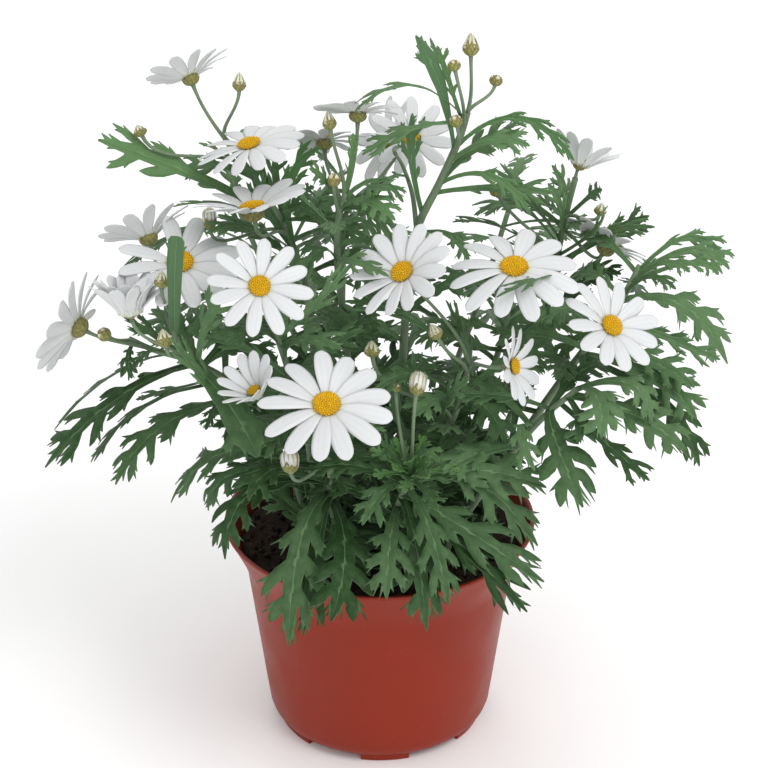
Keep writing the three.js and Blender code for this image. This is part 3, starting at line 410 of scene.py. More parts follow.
class BentCurve(Curve):
    """A curve bent by one or two control points between its ends."""

    def __init__(self, *controls):
        self.controls = controls

    def point(self, t):
        level = self.controls
        while len(level) > 1:
            level = [a.lerp(b, t) for a, b in zip(level, level[1:])]
        return level[0]


CURVES = {name: StemCurve(foot, path) for name, (_, foot, path) in STEMS.items()}

# The first seed of each kind of thing that is drawn by chance
SEEDS = {
    "leaves": 3, "fillers": 5, "peat": 11, "rosette": 21, "petals": 200, "florets": 400,
    "cups": 600, "buds": 800, "blades": 1000,
}


def chance_for(kind, number=0):
    """The chances of one piece, the same in each run."""
    return random.Random(SEEDS[kind] + number)


def shoot_of(stem):
    """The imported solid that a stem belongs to."""
    return f"shoot_{stem[0]}"


@cache
def solid_corners(node):
    """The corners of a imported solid, in millimetres, sorted by where they are."""
    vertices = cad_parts[node].data.vertices
    corners = KDTree(len(vertices))
    for i, vertex in enumerate(vertices):
        corners.insert(vertex.co / MM, i)
    corners.balance()
    return corners


def off_solid(node, point):
    """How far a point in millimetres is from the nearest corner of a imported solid."""
    return solid_corners(node).find(point)[2]


def upright_frame(origin, axis):
    """The frame of a bloom or bud, its Z along the axis, as the solids have it."""
    guide = Vector((1, 0, 0)) if abs(axis.z) > 0.9 else UP
    side = guide.cross(axis).normalized()
    turn = Matrix((side, axis.cross(side), axis)).transposed()
    return Matrix.Translation(origin) @ turn.to_4x4()


# The blooms and buds of the tables

# The cup's body under its bracts: its size, its width, and the form of its rounded foot
CUP_BODY = 0.86
CUP_BODY_WIDTH = 0.93
CUP_STRAIGHT = 0.15
CUP_ROUND = 0.87
CUP_LEAST = 0.03

# A bud's half width along its height, for each kind
BUD_OUTLINES = (
    ((0, 0.2), (0.12, 0.66), (0.35, 0.96), (0.55, 1.0), (0.8, 0.8), (0.94, 0.45), (1, 0.1)),
    (
        (0, 0.2), (0.1, 0.66), (0.28, 0.98), (0.42, 0.96), (0.6, 0.7), (0.8, 0.4), (0.94, 0.2),
        (1, 0.05),
    ),
    ((0, 0.25), (0.1, 0.7), (0.28, 0.92), (0.5, 0.98), (0.75, 0.98), (0.92, 0.75), (1, 0.3)),
)
BUD_BODY_WIDTH = 0.9
BUD_BODY_HEIGHT = 0.96
FULL_FLARE_WIDTH = 9


class Flower:
    """What a bloom and a bud share: where the stalk leaves its stem, the centre and the axis."""

    def __init__(self, number, stem, at, x, y, z, ax, ay, az):
        self.number = number
        self.label = f"{number:02d}"
        self.stem = stem
        self.at = at
        self.centre = Vector((x, y, z))
        self.axis = Vector((ax, ay, az)).normalized()
        self.place = upright_frame(self.centre, self.axis)


class Bloom(Flower):
    """A hub with petals, a disc on it and a green cup below."""

    flare = 1

    def __init__(self, number, *row):
        super().__init__(number, *row[:8])
        self.diameter, self.petals, self.cup = row[8:]
        self.hub = self.diameter * HUB_SHARE + HUB_OVERHANG
        self.disc = self.diameter * HUB_SHARE - (DISC_INSET if self.cup > WIDE_OPEN else 0)
        self.foot = self.centre - self.axis * (self.disc * CUP_HEIGHT + GAP)

    def outline(self, share):
        """The radius and the height of the green cup at a share of its height."""
        radius = self.disc * CUP_RADIUS * CUP_BODY
        height = radius * CUP_HEIGHT
        down = 1 - share
        bend = max(down - CUP_STRAIGHT, 0) / CUP_ROUND
        across = math.sqrt(max(1 - bend**2, CUP_LEAST))
        return radius * CUP_BODY_WIDTH * across, -GAP - down * height


class Bud(Flower):
    """A closed, pointed or opening bud."""

    def __init__(self, number, *row):
        super().__init__(number, *row[:8])
        self.width, self.height, self.kind = row[8:]
        self.flare = self.width / FULL_FLARE_WIDTH
        self.foot = self.centre - self.axis * self.height / 2

    def outline(self, share):
        """The radius and the height of the bud at a share of its height."""
        width = self.width * BUD_BODY_WIDTH
        height = self.height * BUD_BODY_HEIGHT
        across = blend_points(BUD_OUTLINES[self.kind], min(share, 1))
        return across * width / 2, (share - 0.5) * height


BLOOMS = [Bloom(number, *row) for number, row in enumerate(BLOOM_ROWS, 1)]
BUDS = [Bud(number, *row) for number, row in enumerate(BUD_ROWS, 1)]


# Growing and joining meshes


def new_draft():
    """An empty mesh in millimetres with the values that its materials read."""
    draft = bmesh.new()
    for name in ("rib", "tone", "along"):
        draft.verts.layers.float.new(name)
    return draft


def paint(draft, vertices, **values):
    """Gives vertices the values that the materials read."""
    for name, value in values.items():
        layer = draft.verts.layers.float[name]
        for vertex in vertices:
            vertex[layer] = value


def cover(vertices, index):
    """Gives the faces round some vertices one of the piece's materials."""
    for face in {face for vertex in vertices for face in vertex.link_faces}:
        face.material_index = index


def finish_piece(draft, name, nodes, materials, thickness=0):
    """Makes the drafted mesh a piece of the plant, in metres, in place of its solids."""
    bmesh.ops.recalc_face_normals(draft, faces=draft.faces)
    bmesh.ops.scale(draft, vec=(MM, MM, MM), verts=draft.verts)
    for face in draft.faces:
        face.smooth = True
    mesh = bpy.data.meshes.new(name)
    draft.to_mesh(mesh)
    draft.free()
    piece = bpy.data.objects.new(name, mesh)
    bpy.context.scene.collection.objects.link(piece)
    for material in materials:
        mesh.materials.append(material)
    if thickness:
        wall = piece.modifiers.new("thickness", "SOLIDIFY")
        wall.thickness = thickness * MM
        wall.offset = 0
        wall.material_offset = 1
        wall.material_offset_rim = 0
    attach(piece, "root")
    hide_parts(*nodes)
    return piece


def finish_shoots(drafts, kind, materials, thickness=0):
    """Makes each shoot's draft a piece, named for what it holds."""
    for node, draft in drafts.items():
        name = node.replace("shoot", kind)
        finish_piece(draft, name, [node], materials, thickness)


def extrude_row(draft, row, closed=False):
    """Extrudes a row of edge vertices and gives the new row in the same order."""
    ahead = row[1:] + row[:1] if closed else row[1:]
    edges = [draft.edges.get(pair) for pair in zip(row, ahead)]
    made = bmesh.ops.extrude_edge_only(draft, edges=edges)["geom"]
    fresh = {item for item in made if isinstance(item, bmesh.types.BMVert)}
    return [
        next(edge.other_vert(v) for edge in v.link_edges if edge.other_vert(v) in fresh)
        for v in row
    ]


def sweep(draft, curve, radii, sides):
    """A round stem along a curve, a ring for each radius, its ends closed."""
    points = curve.trace(len(radii) - 1)
    ways = [(b - a).normalized() for a, b in zip(points, points[1:])]
    ways.append(ways[-1])
    turn = UP.rotation_difference(ways[0])
    first = ring = bmesh.ops.create_circle(draft, segments=sides, radius=1)["verts"]
    corners = [vertex.co.copy() for vertex in ring]
    for i, (point, way, radius) in enumerate(zip(points, ways, radii)):
        if i:
            turn = ways[i - 1].rotation_difference(way) @ turn
            ring = extrude_row(draft, ring, closed=True)
        place = Matrix.Translation(point) @ turn.to_matrix().to_4x4()
        for vertex, corner in zip(ring, corners):
            vertex.co = place @ (corner * radius)
    for end in (first, ring):
        bmesh.ops.contextual_create(draft, geom=end)


def grid_rows(draft, along, across):
    """A flat strip of faces as rows of vertices, each row across the strip."""
    made = bmesh.ops.create_grid(draft, x_segments=along, y_segments=across, size=0.5)["verts"]
    made.sort(key=lambda v: (round(v.co.x, 5), round(v.co.y, 5)))
    width = across + 1
    return [made[i : i + width] for i in range(0, len(made), width)]


def spin_profile(draft, profile, steps):
    """Turns a profile of (radius, height) rows about the upright axis."""
    corners = [draft.verts.new((radius, 0, height)) for radius, height in profile]
    edges = [draft.edges.new(pair) for pair in zip(corners, corners[1:])]
    bmesh.ops.spin(
        draft, geom=corners + edges, cent=(0, 0, 0), axis=(0, 0, 1), angle=2 * math.pi,
        steps=steps, use_merge=True,
    )
    bmesh.ops.remove_doubles(draft, verts=draft.verts, dist=1e-4)


# Materials


def linear(code):
    """A colour code as the linear values that a shader takes."""
    parts = [int(code[i : i + 2], 16) / 255 for i in (0, 2, 4)]
    return tuple(p / 12.92 if p <= 0.04045 else ((p + 0.055) / 1.055) ** 2.4 for p in parts)


def shade(colour, share):
    """A colour made darker (share under 1) or lighter."""
    return tuple(min(part * share, 1) for part in colour)


class Look:
    """A material in the making. Its colours are laid over each other, the first under all."""

    def __init__(self, name, colour, roughness, specular, sheen=0, subsurface=0):
        self.material = bpy.data.materials.new(name)
        self.material.use_nodes = True
        self.tree = self.material.node_tree
        self.surface = self.tree.nodes["Principled BSDF"].inputs
        self.colour = (*colour, 1)
        for socket, value in (
            ("Roughness", roughness),
            ("Specular IOR Level", specular),
            ("Sheen Weight", sheen),
            ("Subsurface Weight", subsurface),
            ("Subsurface Radius", (0.002, 0.002, 0.0015)),
            ("Subsurface Scale", 0.5),
        ):
            self.surface[socket].default_value = value

    def node(self, kind, output, inputs, **options):
        """A new node's output. Each of its inputs is a plain value or another node's output."""
        node = self.tree.nodes.new(f"ShaderNode{kind}")
        for option, value in options.items():
            setattr(node, option, value)
        for socket, value in inputs.items():
            if isinstance(value, bpy.types.NodeSocket):
                self.tree.links.new(value, node.inputs[socket])
            else:
                node.inputs[socket].default_value = value
        return node.outputs[output]

    def mottle(self, scale, detail=3, stretch=(1, 1, 1)):
        """Soft noise from 0 to 1 over the piece's own coordinates."""
        place = self.node("TexCoord", "Object", {})
        place = self.node("Mapping", "Vector", {"Vector": place, "Scale": stretch})
        return self.node("TexNoise", "Fac", {"Vector": place, "Scale": scale, "Detail": detail})

    def painted(self, name):
        """A value that was painted on the vertices."""
        return self.node("Attribute", "Fac", {}, attribute_name=name)

    def add(self, first, second):
        return self.node("Math", "Value", {0: first, 1: second}, operation="ADD")

    def scaled(self, value, factor):
        return self.node("Math", "Value", {0: value, 1: factor}, operation="MULTIPLY")

    def span(self, source, low, high, least=0, most=1):
        """Goes from least to most as the source goes from low to high, held at both ends."""
        inputs = {"From Min": low, "From Max": high, "To Min": least, "To Max": most}
        return self.node("MapRange", "Result", {"Value": source, **inputs})

    def layer(self, colour, source, low, high, least=0, most=1):
        """Lays a colour over the others, as thick as span says."""
        inputs = {0: self.span(source, low, high, least, most), 6: self.colour, 7: (*colour, 1)}
        self.colour = self.node("Mix", 2, inputs, data_type="RGBA")

    def finish(self, height=None, depth=0, strength=1):
        """The material, with relief of a depth in millimetres where a height is given."""
        self.tree.links.new(self.colour, self.surface["Base Color"])
        if height is not None:
            inputs = {"Height": height, "Distance": depth * MM, "Strength": strength}
            self.tree.links.new(self.node("Bump", "Normal", inputs), self.surface["Normal"])
        return self.material


def leaf_material(name, dark, light, settings):
    """One side of a leaf: mottled green with a paler rib, veins and margin."""
    look = Look(name, dark, 0.55, 0.26, sheen=0.03)
    rib = look.painted("rib")
    tone = look.painted("tone")
    patches = look.scaled(look.add(look.mottle(28), look.mottle(260, 2)), 0.4)
    # The lighter green follows random patches and the leaf's tone; the tone's height part is painted
    # light from above
    look.layer(light, look.add(patches, look.scaled(tone, 0.6)), 0.35, 1.0)
    look.layer(settings.young_colour, tone, 1.0, 2.0)
    look.layer(settings.rib_colour, rib, 0.86, 1.0, 0, 0.65)
    look.layer(settings.rib_colour, rib, 0.0, 0.06, 0.2, 0)
    veins = look.scaled(look.span(rib, 0.75, 1.0), -0.8)
    return look.finish(look.add(veins, look.mottle(900, 2)), 0.35, 0.7)


def stem_material(settings):
    """Green bark with fine ridges along the stem."""
    green = settings.stem_colour
    look = Look("stem", green, 0.55, 0.35, sheen=0.15)
    ridges = look.mottle(520, 2, (1, 1, 0.08))
    patches = look.add(look.scaled(ridges, 0.6), look.mottle(60))
    look.layer(shade(green, 1.5), patches, 0.55, 1.05)
    return look.finish(ridges, 0.5, 0.8)


def petal_material(settings):
    """White, greenish at the foot, with painted shade along two faint grooves."""
    white = settings.petal_colour
    look = Look("petal", white, 0.55, 0.3, sheen=0.1, subsurface=0.1)
    grain = look.mottle(700, 2)
    look.layer(shade(white, 0.9), look.add(look.scaled(grain, 0.35), look.painted("tone")), 0, 1.2)
    look.layer(settings.petal_foot_colour, look.painted("along"), 0.0, 0.22, 0.5, 0)
    # Painted shade: a grey line along each of the petal's two grooves
    look.layer(shade(white, 0.72), look.painted("rib"), 0.6, 1.0, 0, 0.2)
    return look.finish(grain, 0.15, 0.5)


def floret_material(settings):
    """Yellow florets, deeper towards the disc's edge, with painted shade on the dome between them."""
    yellow, edge = settings.disc_colour, settings.disc_edge_colour
    look = Look("florets", yellow, 0.75, 0.15, sheen=0.05)
    look.layer(shade(yellow, 1.3), look.painted("tone"), 0, 1)
    look.layer(edge, look.painted("along"), 0.72, 1.0, 0, 0.75)
    # Painted shade: the dome between the florets, left with rib 0, is darkened
    look.layer(shade(edge, 0.5), look.painted("rib"), 0.0, 0.9, 0.6, 0)
    return look.finish(look.mottle(2200, 2), 0.2, 0.8)


def bract_material(settings):
    """Green scales with brown edges."""
    green = settings.bract_colour
    look = Look("bract", green, 0.6, 0.3, sheen=0.1)
    patches = look.add(look.mottle(500), look.scaled(look.painted("tone"), 0.3))
    look.layer(shade(green, 1.5), patches, 0.3, 0.9)
    look.layer(settings.bract_edge_colour, look.painted("rib"), 0.05, 0.55, 0.75, 0)
    return look.finish(look.mottle(1100, 2), 0.25, 0.7)


def bud_tip_material(settings):
    """The pale tip of a bud, whiter as it opens and brown at its foot; on a bud's body the brown is
    painted shade between its petals.
    """
    pale = settings.bud_tip_colour
    look = Look("bud_tip", pale, 0.6, 0.3, sheen=0.1)
    look.layer(shade(pale, 0.8), look.mottle(600, 2, (1, 1, 0.3)), 0.35, 0.7)
    look.layer(settings.petal_colour, look.painted("tone"), 0.3, 1.2)
    look.layer(settings.bract_edge_colour, look.painted("along"), 0.0, 0.45, 0.6, 0)
    return look.finish(look.mottle(1200, 2), 0.2, 0.6)


def pot_material(settings):
    """Moulded plastic with dust and upright scuffs, in places shinier."""
    plastic = settings.colour
    look = Look("pot_plastic", plastic, 0.5, 0.2)
    look.layer(shade(plastic, 1.1), look.mottle(22, 4), 0.3, 0.7)
    look.layer(settings.dust_colour, look.mottle(420), 0.68, 0.78, 0, 0.16)
    look.layer(shade(plastic, 1.35), look.mottle(160, 4, (1, 1, 0.15)), 0.62, 0.8, 0, 0.2)
    shine = look.span(look.mottle(45), 0.3, 0.7, 0.34, 0.5)
    look.tree.links.new(shine, look.surface["Roughness"])
    return look.finish(look.mottle(700), 0.12, 0.35)


def soil_material(settings):
    """Damp dark peat with drier crumbs and fibres."""
    look = Look("peat", settings.colour, 0.95, 0.2)
    crumbs = look.mottle(260, 6)
    look.layer(settings.light_colour, crumbs, 0.35, 0.65)
    look.layer(settings.fibre_colour, look.mottle(900, 2, (1, 0.25, 1)), 0.66, 0.74, 0, 0.5)
    return look.finish(crumbs, 1.6)


# The pot and its soil

# Radius and height, from the floor's middle up the outside and down the inside
POT_PROFILE = (
    (0, 3.4), (46.6, 3.4), (47.9, 3.7), (48.9, 4.6), (50.2, 6.6), (51.1, 9.2), (52.6, 20),
    (55.3, 41), (58.1, 62), (60.1, 77), (60.5, 79.4), (61.3, 82), (62.2, 84.6), (63.4, 87.4),
    (66.2, 93.2), (68.6, 98), (69.5, 99.4), (69.95, 100.2), (69.8, 101), (69.1, 101.2),
    (68.2, 100.9), (67.3, 99.2), (64.5, 93), (61.6, 86.8), (59.2, 81.2), (56.5, 62), (53.7, 41),
    (51, 20), (49.5, 9.2), (48, 6.4), (46, 5.4), (0, 5.4),
)
POT_SIDES = 120
SHARP_ANGLE = 50
FOOT_PROFILE = ((37, 0), (46.6, 0), (47, 0.4), (47.2, 4), (36.8, 4))
FOOT_COUNT = 6
FIRST_FOOT = -87
FOOT_HALF_ANGLE = 13.5
FOOT_STEPS = 8

SOIL_PROFILE = ((0, 5.7), (45.5, 5.7), (49.1, 9.3), (56.2, 62), (58.6, 81), (61.1, 87), (62.6, 90))
SOIL_SIDES = 96
SOIL_RINGS = 24
SOIL_TOP = 91.5
SOIL_SINK = 0.25
TOP_FROM = SOIL_TOP - 0.1
# The peat's unevenness: how close its humps are, and how high
SOIL_HUMPS = ((0.09, 1.6), (0.35, 1.3))
CRUMB_REACH = 61
CRUMB_SIZES = (0.35, 1.5)
CRUMB_RISE = 0.3
CRUMB_ROUGHNESS = (-0.3, 0.3)


def add_feet(draft):
    """The low feet: each a short arc of a plain block."""
    for i in range(FOOT_COUNT):
        before = set(draft.verts)
        rows = [draft.verts.new((radius, 0, height)) for radius, height in FOOT_PROFILE]
        bmesh.ops.spin(
            draft, geom=[draft.faces.new(rows)], cent=(0, 0, 0), axis=(0, 0, 1),
            angle=math.radians(2 * FOOT_HALF_ANGLE), steps=FOOT_STEPS,
        )
        block = [vertex for vertex in draft.verts if vertex not in before]
        turn = math.radians(FIRST_FOOT + i * 360 / FOOT_COUNT - FOOT_HALF_ANGLE)
        bmesh.ops.rotate(draft, verts=block, cent=(0, 0, 0), matrix=Matrix.Rotation(turn, 3, "Z"))


def make_pot(settings):
    draft = new_draft()
    spin_profile(draft, POT_PROFILE, POT_SIDES)
    add_feet(draft)
    pot = finish_piece(draft, "nursery_pot", ["pot"], [pot_material(settings)])
    pot.modifiers.new("keep_edges", "EDGE_SPLIT").split_angle = math.radians(SHARP_ANGLE)


def make_soil(settings):
    rng = chance_for("peat")
    draft = new_draft()
    edge = SOIL_PROFILE[-1][0]
    rings = [(edge * (1 - share), SOIL_TOP) for share in shares(SOIL_RINGS)[1:]]
    spin_profile(draft, (*SOIL_PROFILE, *rings), SOIL_SIDES)
    for vertex in draft.verts:
        if vertex.co.z > TOP_FROM:
            rise = sum(noise.noise(vertex.co * scale) * height for scale, height in SOIL_HUMPS)
            vertex.co.z += rise - SOIL_SINK
    for _ in range(settings.crumbs):
        radius = CRUMB_REACH * math.sqrt(rng.random())
        turn = rng.random() * 2 * math.pi
        size = rng.uniform(*CRUMB_SIZES)
        place = Matrix.Translation(polar(radius, turn, SOIL_TOP + CRUMB_RISE * size))
        made = bmesh.ops.create_icosphere(draft, subdivisions=1, radius=size, matrix=place)
        for vertex in made["verts"]:
            vertex.co += Vector([rng.uniform(*CRUMB_ROUGHNESS) * size for _ in range(3)])
    finish_piece(draft, "peat_bed", ["soil"], [soil_material(settings)])


# Stems and flower stalks

STEM_RINGS = 40
STEM_TAPER = 0.35
FORK_RADIUS = 0.8
STALK_RINGS = 16
STALK_SIDES = 8
# A stalk's radius as shares of its solid's: in the middle, more at the stem and at the flower
STALK_WAIST = 0.58
STALK_ROOT = 0.2
STALK_FLARE = 0.35
FLARE_POWER = 12


def stalk_curve(flower):
    """The line of a flower stalk, swung aside as far as its solid is."""
    curve = CURVES[flower.stem]
    start = curve.point(flower.at)
    end = flower.foot
    reach = (end - start).length * STALK_LEAD

    def swung(distance):
        aside = SWING_LINE * distance
        first = start + curve.tangent(flower.at) * reach + aside
        second = end - flower.axis * reach + aside
        return BentCurve(start, first, second, end + flower.axis * STALK_SINK)

    def misfit(distance):
        return abs(off_solid(shoot_of(flower.stem), swung(distance).middle()) - STALK_RADIUS)

    return swung(min(SWINGS, key=misfit))


def stalk_radius(share, flare):
    """A flower stalk's radius at a share of its length."""
    flared = STALK_FLARE * flare * share**FLARE_POWER
    return STALK_RADIUS * (STALK_WAIST + STALK_ROOT * (1 - share) ** 2 + flared)


def make_stems(settings):
    drafts = defaultdict(new_draft)
    for name, (radius, foot, _) in STEMS.items():
        base = 1.0 if foot else FORK_RADIUS
        radii = [radius * (base - STEM_TAPER * share) for share in shares(STEM_RINGS)]
        sweep(drafts[shoot_of(name)], CURVES[name], radii, settings.sides)
    for flower in (*BLOOMS, *BUDS):
        radii = [stalk_radius(share, flower.flare) for share in shares(STALK_RINGS)]
        sweep(drafts[shoot_of(flower.stem)], stalk_curve(flower), radii, STALK_SIDES)
    finish_shoots(drafts, "stems", [stem_material(settings)])


# Leaves

Leaf = namedtuple("Leaf", "stem at x y z bend_x bend_z width roll pairs")

# A blade's half width along its length as a share of its width. Its lobes and the small spurs
# near its foot: where each starts, then a lobe's end and reach, or a spur's least and most reach
LEAF_SHAPES = {
    0: {
        "widths": (
            (0, 0.13), (0.3, 0.23), (0.6, 0.27), (0.84, 0.29), (0.95, 0.3), (0.98, 0.28), (1, 0.2),
        ),
        "lobes": (),
        "spurs": ((0.66, 0.72, 0.86),),
    },
    1: {
        "widths": (
            (0, 0.1), (0.2, 0.12), (0.38, 0.22), (0.52, 0.3), (0.68, 0.33), (0.8, 0.32),
            (0.89, 0.22), (0.95, 0.13), (1, 0.04),
        ),
        "lobes": ((0.74, 0.9, 1.0),),
        "spurs": ((0.5, 0.8, 1.0),),
    },
    2: {
        "widths": (
            (0, 0.1), (0.18, 0.1), (0.36, 0.13), (0.55, 0.18), (0.72, 0.17), (0.84, 0.13),
            (0.93, 0.08), (1, 0.02),
        ),
        "lobes": ((0.53, 0.74, 0.8), (0.74, 0.94, 1.0)),
        "spurs": ((0.32, 0.28, 0.45),),
    },
    3: {
        "widths": (
            (0, 0.09), (0.14, 0.09), (0.3, 0.13), (0.46, 0.17), (0.62, 0.17), (0.78, 0.14),
            (0.87, 0.1), (0.94, 0.06), (1, 0.015),
        ),
        "lobes": ((0.42, 0.59, 0.72), (0.605, 0.79, 1.0), (0.775, 0.94, 0.72)),
        "spurs": ((0.25, 0.28, 0.45),),
    },
}
# Where every blade has a row of its own, and how far from a lobe's middle its two sides start
PLAIN_STATIONS = {0.0, 0.07, 0.14, 0.86, 0.91, 0.96, 1.0}
ROOT_SPREAD = 0.05
# How far a row's ends are ahead of its middle, and how far one may be ahead of the other
CHEVRON = 0.05
STAGGER = 0.03
UNEVEN = (0.95, 1.05)
LEAST_HALF_WIDTH = 0.9
# The two sides of a leaf, and the place of their edge in a row of five vertices
SIDES = ((1, 4), (-1, 0))
# Along a lobe: the share of its length, and its half width there
LOBE_ROWS = ((0.22, 1.2), (0.45, 1.04), (0.66, 0.88), (0.83, 0.58), (0.94, 0.28), (1.0, 0.05))
LOBE_LEAD = (0.38, 0.6)
# A lobe's width, as a share of the blade's and in millimetres
LOBE_SHARE = 0.1
LOBE_LEAST, LOBE_MOST = 0.5, 2.9
LOBE_UNEVEN = (0.88, 1.12)
LOBE_FURTHEST = 0.99
# How far the sides of a lobe keep off the blade's edge, in millimetres
LOBE_CLEAR = 0.15
# Teeth of a lobe: the row where one starts, its edge, how often it is there, and its size
LOBE_TEETH = ((1, 0, 0.3, 1.5), (2, 0, 0.8, 2.1), (3, 2, 0.6, 1.5), (2, 2, 0.2, 1.3))
# Teeth near the blade's end: the row where one starts, and how often it is there
END_TEETH = ((-4, 0.95), (-3, 0.3))
END_TOOTH_SIZES = (0.1, 0.2)
WIDEST_TOOTHED = 22
TOOTH_OUT = 0.75
TOOTH_TIP = 0.13
# How strong the vein of a lobe is: where it starts, along it, and further out
VEIN_START = 0.82
VEIN = 0.89
VEIN_END = 0.6
VEIN_END_FROM = 0.7
# Spurs: how often one is missing, how far ahead its end is, its width and its least reach
SPURLESS = 0.4
SPUR_AHEAD = (0.1, 0.16)
SPUR_WIDTH = (0.05, 0.09)
LEAST_SPUR = 2.6
# The blade's form across its rib, in millimetres: it rises to the keel's width, then droops
KEEL = 3.0
KEEL_SLOPE = 0.36
DROOP = 0.17
CURL = 0.005


class Blade:
    """A flat leaf along X, cut into lobes and teeth, in millimetres."""

    def __init__(self, draft, leaf, length, number, tone):
        self.draft = draft
        self.length = length
        self.width = leaf.width
        self.number = number
        self.tone = tone
        self.rng = chance_for("blades", number)
        shape = LEAF_SHAPES[leaf.pairs]
        roots = [root for root, _, _ in shape["lobes"] + shape["spurs"]]
        near = {root + step for root in roots for step in (-ROOT_SPREAD, 0, ROOT_SPREAD)}
        self.stations = sorted(PLAIN_STATIONS | near)
        self.rows = self.lay_rows(shape["widths"])
        self.cut_lobes(shape["lobes"])
        self.cut_spurs(shape["spurs"])
        self.cut_end()

    def lay_rows(self, widths):
        """The rows of five vertices across the blade, bent forward at its edges."""
        rows = grid_rows(self.draft, len(self.stations) - 1, 4)
        stagger = self.rng.uniform(-STAGGER, STAGGER)
        for share, row in zip(self.stations, rows):
            least = LEAST_HALF_WIDTH * min(1, 14 * (1.02 - share))
            reach = max(blend_points(widths, share) * self.width, least)
            reach *= self.rng.uniform(*UNEVEN)
            ease = min(1, 4 * (1 - share)) * min(1, 4 * share)
            for k, vertex in enumerate(row):
                out = (k - 2) / 2
                ahead = (CHEVRON * abs(out) + stagger * out) * ease
                vertex.co = Vector(((share + ahead) * self.length, out * reach, 0))
                rib = (0, 0.3, 1 - 0.06 * share, 0.3, 0)[k]
                paint(self.draft, (vertex,), rib=rib, tone=self.tone)
        return rows

    def cut_lobes(self, lobes):
        """Pairs of lobes where the solid has them, each with a vein and a few teeth."""
        for i, (root, apex, reach) in enumerate(lobes, 1):
            at = self.stations.index(root)
            for side, edge in SIDES:
                shift = LEAF_SHIFT * jitter(self.number, 10 * i + side + 2)
                stretch = LEAF_STRETCH * jitter(self.number, 10 * i + side + 5)
                start = (self.rows[at][edge], self.rows[at][edge - side])
                paint(self.draft, start, rib=VEIN_START)
                out = reach * (self.width / 2) * (1 + stretch)
                width = max(LOBE_LEAST, min(LOBE_SHARE * self.width, LOBE_MOST))
                width *= self.rng.uniform(*LOBE_UNEVEN)
                ahead = min(apex + shift, LOBE_FURTHEST)
                rows = self.grow_lobe(at, side, edge, ahead, out, width)
                for step, tooth_edge, chance, most in LOBE_TEETH:
                    size = width * self.rng.uniform(0.55, 1) * most
                    if self.rng.random() < chance:
                        self.add_tooth(rows, step, tooth_edge, side if tooth_edge else -side, size)

    def cut_spurs(self, spurs):
        """Small plain lobes near the leaf's foot, on most sides."""
        for root, least, most in spurs:
            at = self.stations.index(root)
            for side, edge in SIDES:
                if self.rng.random() < SPURLESS:
                    continue
                ahead = root + self.rng.uniform(*SPUR_AHEAD)
                out = max(self.rng.uniform(least, most) * (self.width / 2), LEAST_SPUR)
                width = self.rng.uniform(*SPUR_WIDTH) * self.width
                self.grow_lobe(at, side, edge, ahead, out, width)

    def cut_end(self):
        """Teeth on both sides of the blade's end."""
        for step, chance in END_TEETH:
            for side, edge in reversed(SIDES):
                size = self.rng.uniform(*END_TOOTH_SIZES) * min(self.width, WIDEST_TOOTHED)
                if self.rng.random() < chance:
                    self.add_tooth(self.rows, step, edge, -side, size)

    def grow_lobe(self, at, side, edge, ahead, out, width):
        """A lobe, drawn out of the blade's edge to its own end. Gives its rows."""
        row = [self.rows[at + k][edge] for k in (-1, 0, 1)]
        apex = Vector((ahead * self.length, side * out, 0))
        root = (row[0].co + row[-1].co) / 2
        lead = Vector((LOBE_LEAD[0] * (apex.x - root.x), LOBE_LEAD[1] * (apex.y - root.y), 0))
        curve = BentCurve(root, root + lead, apex)
        clear = max(side * vertex.co.y for vertex in row) + LOBE_CLEAR
        rows = [row]
        for share, reach in LOBE_ROWS:
            row = extrude_row(self.draft, row)
            heading = curve.tangent(share)
            across = Vector((heading.y, -heading.x, 0)) * side
            middle = curve.point(share)
            for k, vertex in enumerate(row):
                vertex.co = middle + across * ((k - 1) * reach * width)
                vertex.co.y = side * max(side * vertex.co.y, clear)
            paint(self.draft, row, rib=0, tone=self.tone)
            paint(self.draft, row[1:2], rib=VEIN if share < VEIN_END_FROM else VEIN_END)
            rows.append(row)
        return rows

    def add_tooth(self, rows, step, edge, side, size):
        """A small tooth drawn out of one edge of the rows, pointing forward."""
        first, second = rows[step][edge], rows[step + 1][edge]
        heading = (second.co - first.co).normalized()
        outward = Vector((heading.y, -heading.x, 0)) * side
        end = (first.co + second.co) / 2 + outward * size * TOOTH_OUT + heading * size
        tooth = extrude_row(self.draft, [first, second])
        tooth[0].co = end - heading * TOOTH_TIP
        tooth[1].co = end + heading * TOOTH_TIP
        paint(self.draft, tooth, rib=0.1, tone=self.tone)


def lay_leaf(vertices, curve, side, length, number):
    """Bends a flat leaf along its rib: keeled along the middle, its lobes drooping a little."""
    for vertex in vertices:
        x, y, _ = vertex.co
        share = min(max(x / length, 0), 1)
        along = curve.tangent(share)
        across = (side - along * side.dot(along)).normalized()
        sway = noise.noise(Vector((x * 0.09, y * 0.16, number * 3.7)))
        droop = DROOP * max(abs(y) - KEEL, 0) + CURL * y * y
        lift = KEEL_SLOPE * min(abs(y), KEEL) - droop
        lift += sway * (0.3 + 0.14 * abs(y))
        point = curve.point(share) + along * max(x - length, 0)
        vertex.co = point - across * y + across.cross(along) * lift


def leaf_rib(leaf, swing):
    """The rib of a leaf, as its solid has it, and the blade's side."""
    start = CURVES[leaf.stem].point(leaf.at)
    tip = Vector((leaf.x, leaf.y, leaf.z)) + SWING_LINE * swing
    bend = start.lerp(tip, 0.5) + Vector((leaf.bend_x, 0, leaf.bend_z)) + SWING_LINE * swing / 2
    chord = (tip - start).normalized()
    side = chord.cross(FACING_BACK if tip.y > LEAF_BACK_FROM else FACING_FRONT).normalized()
    side.rotate(Matrix.Rotation(math.radians(leaf.roll), 3, chord))
    return BentCurve(start, bend, tip), side


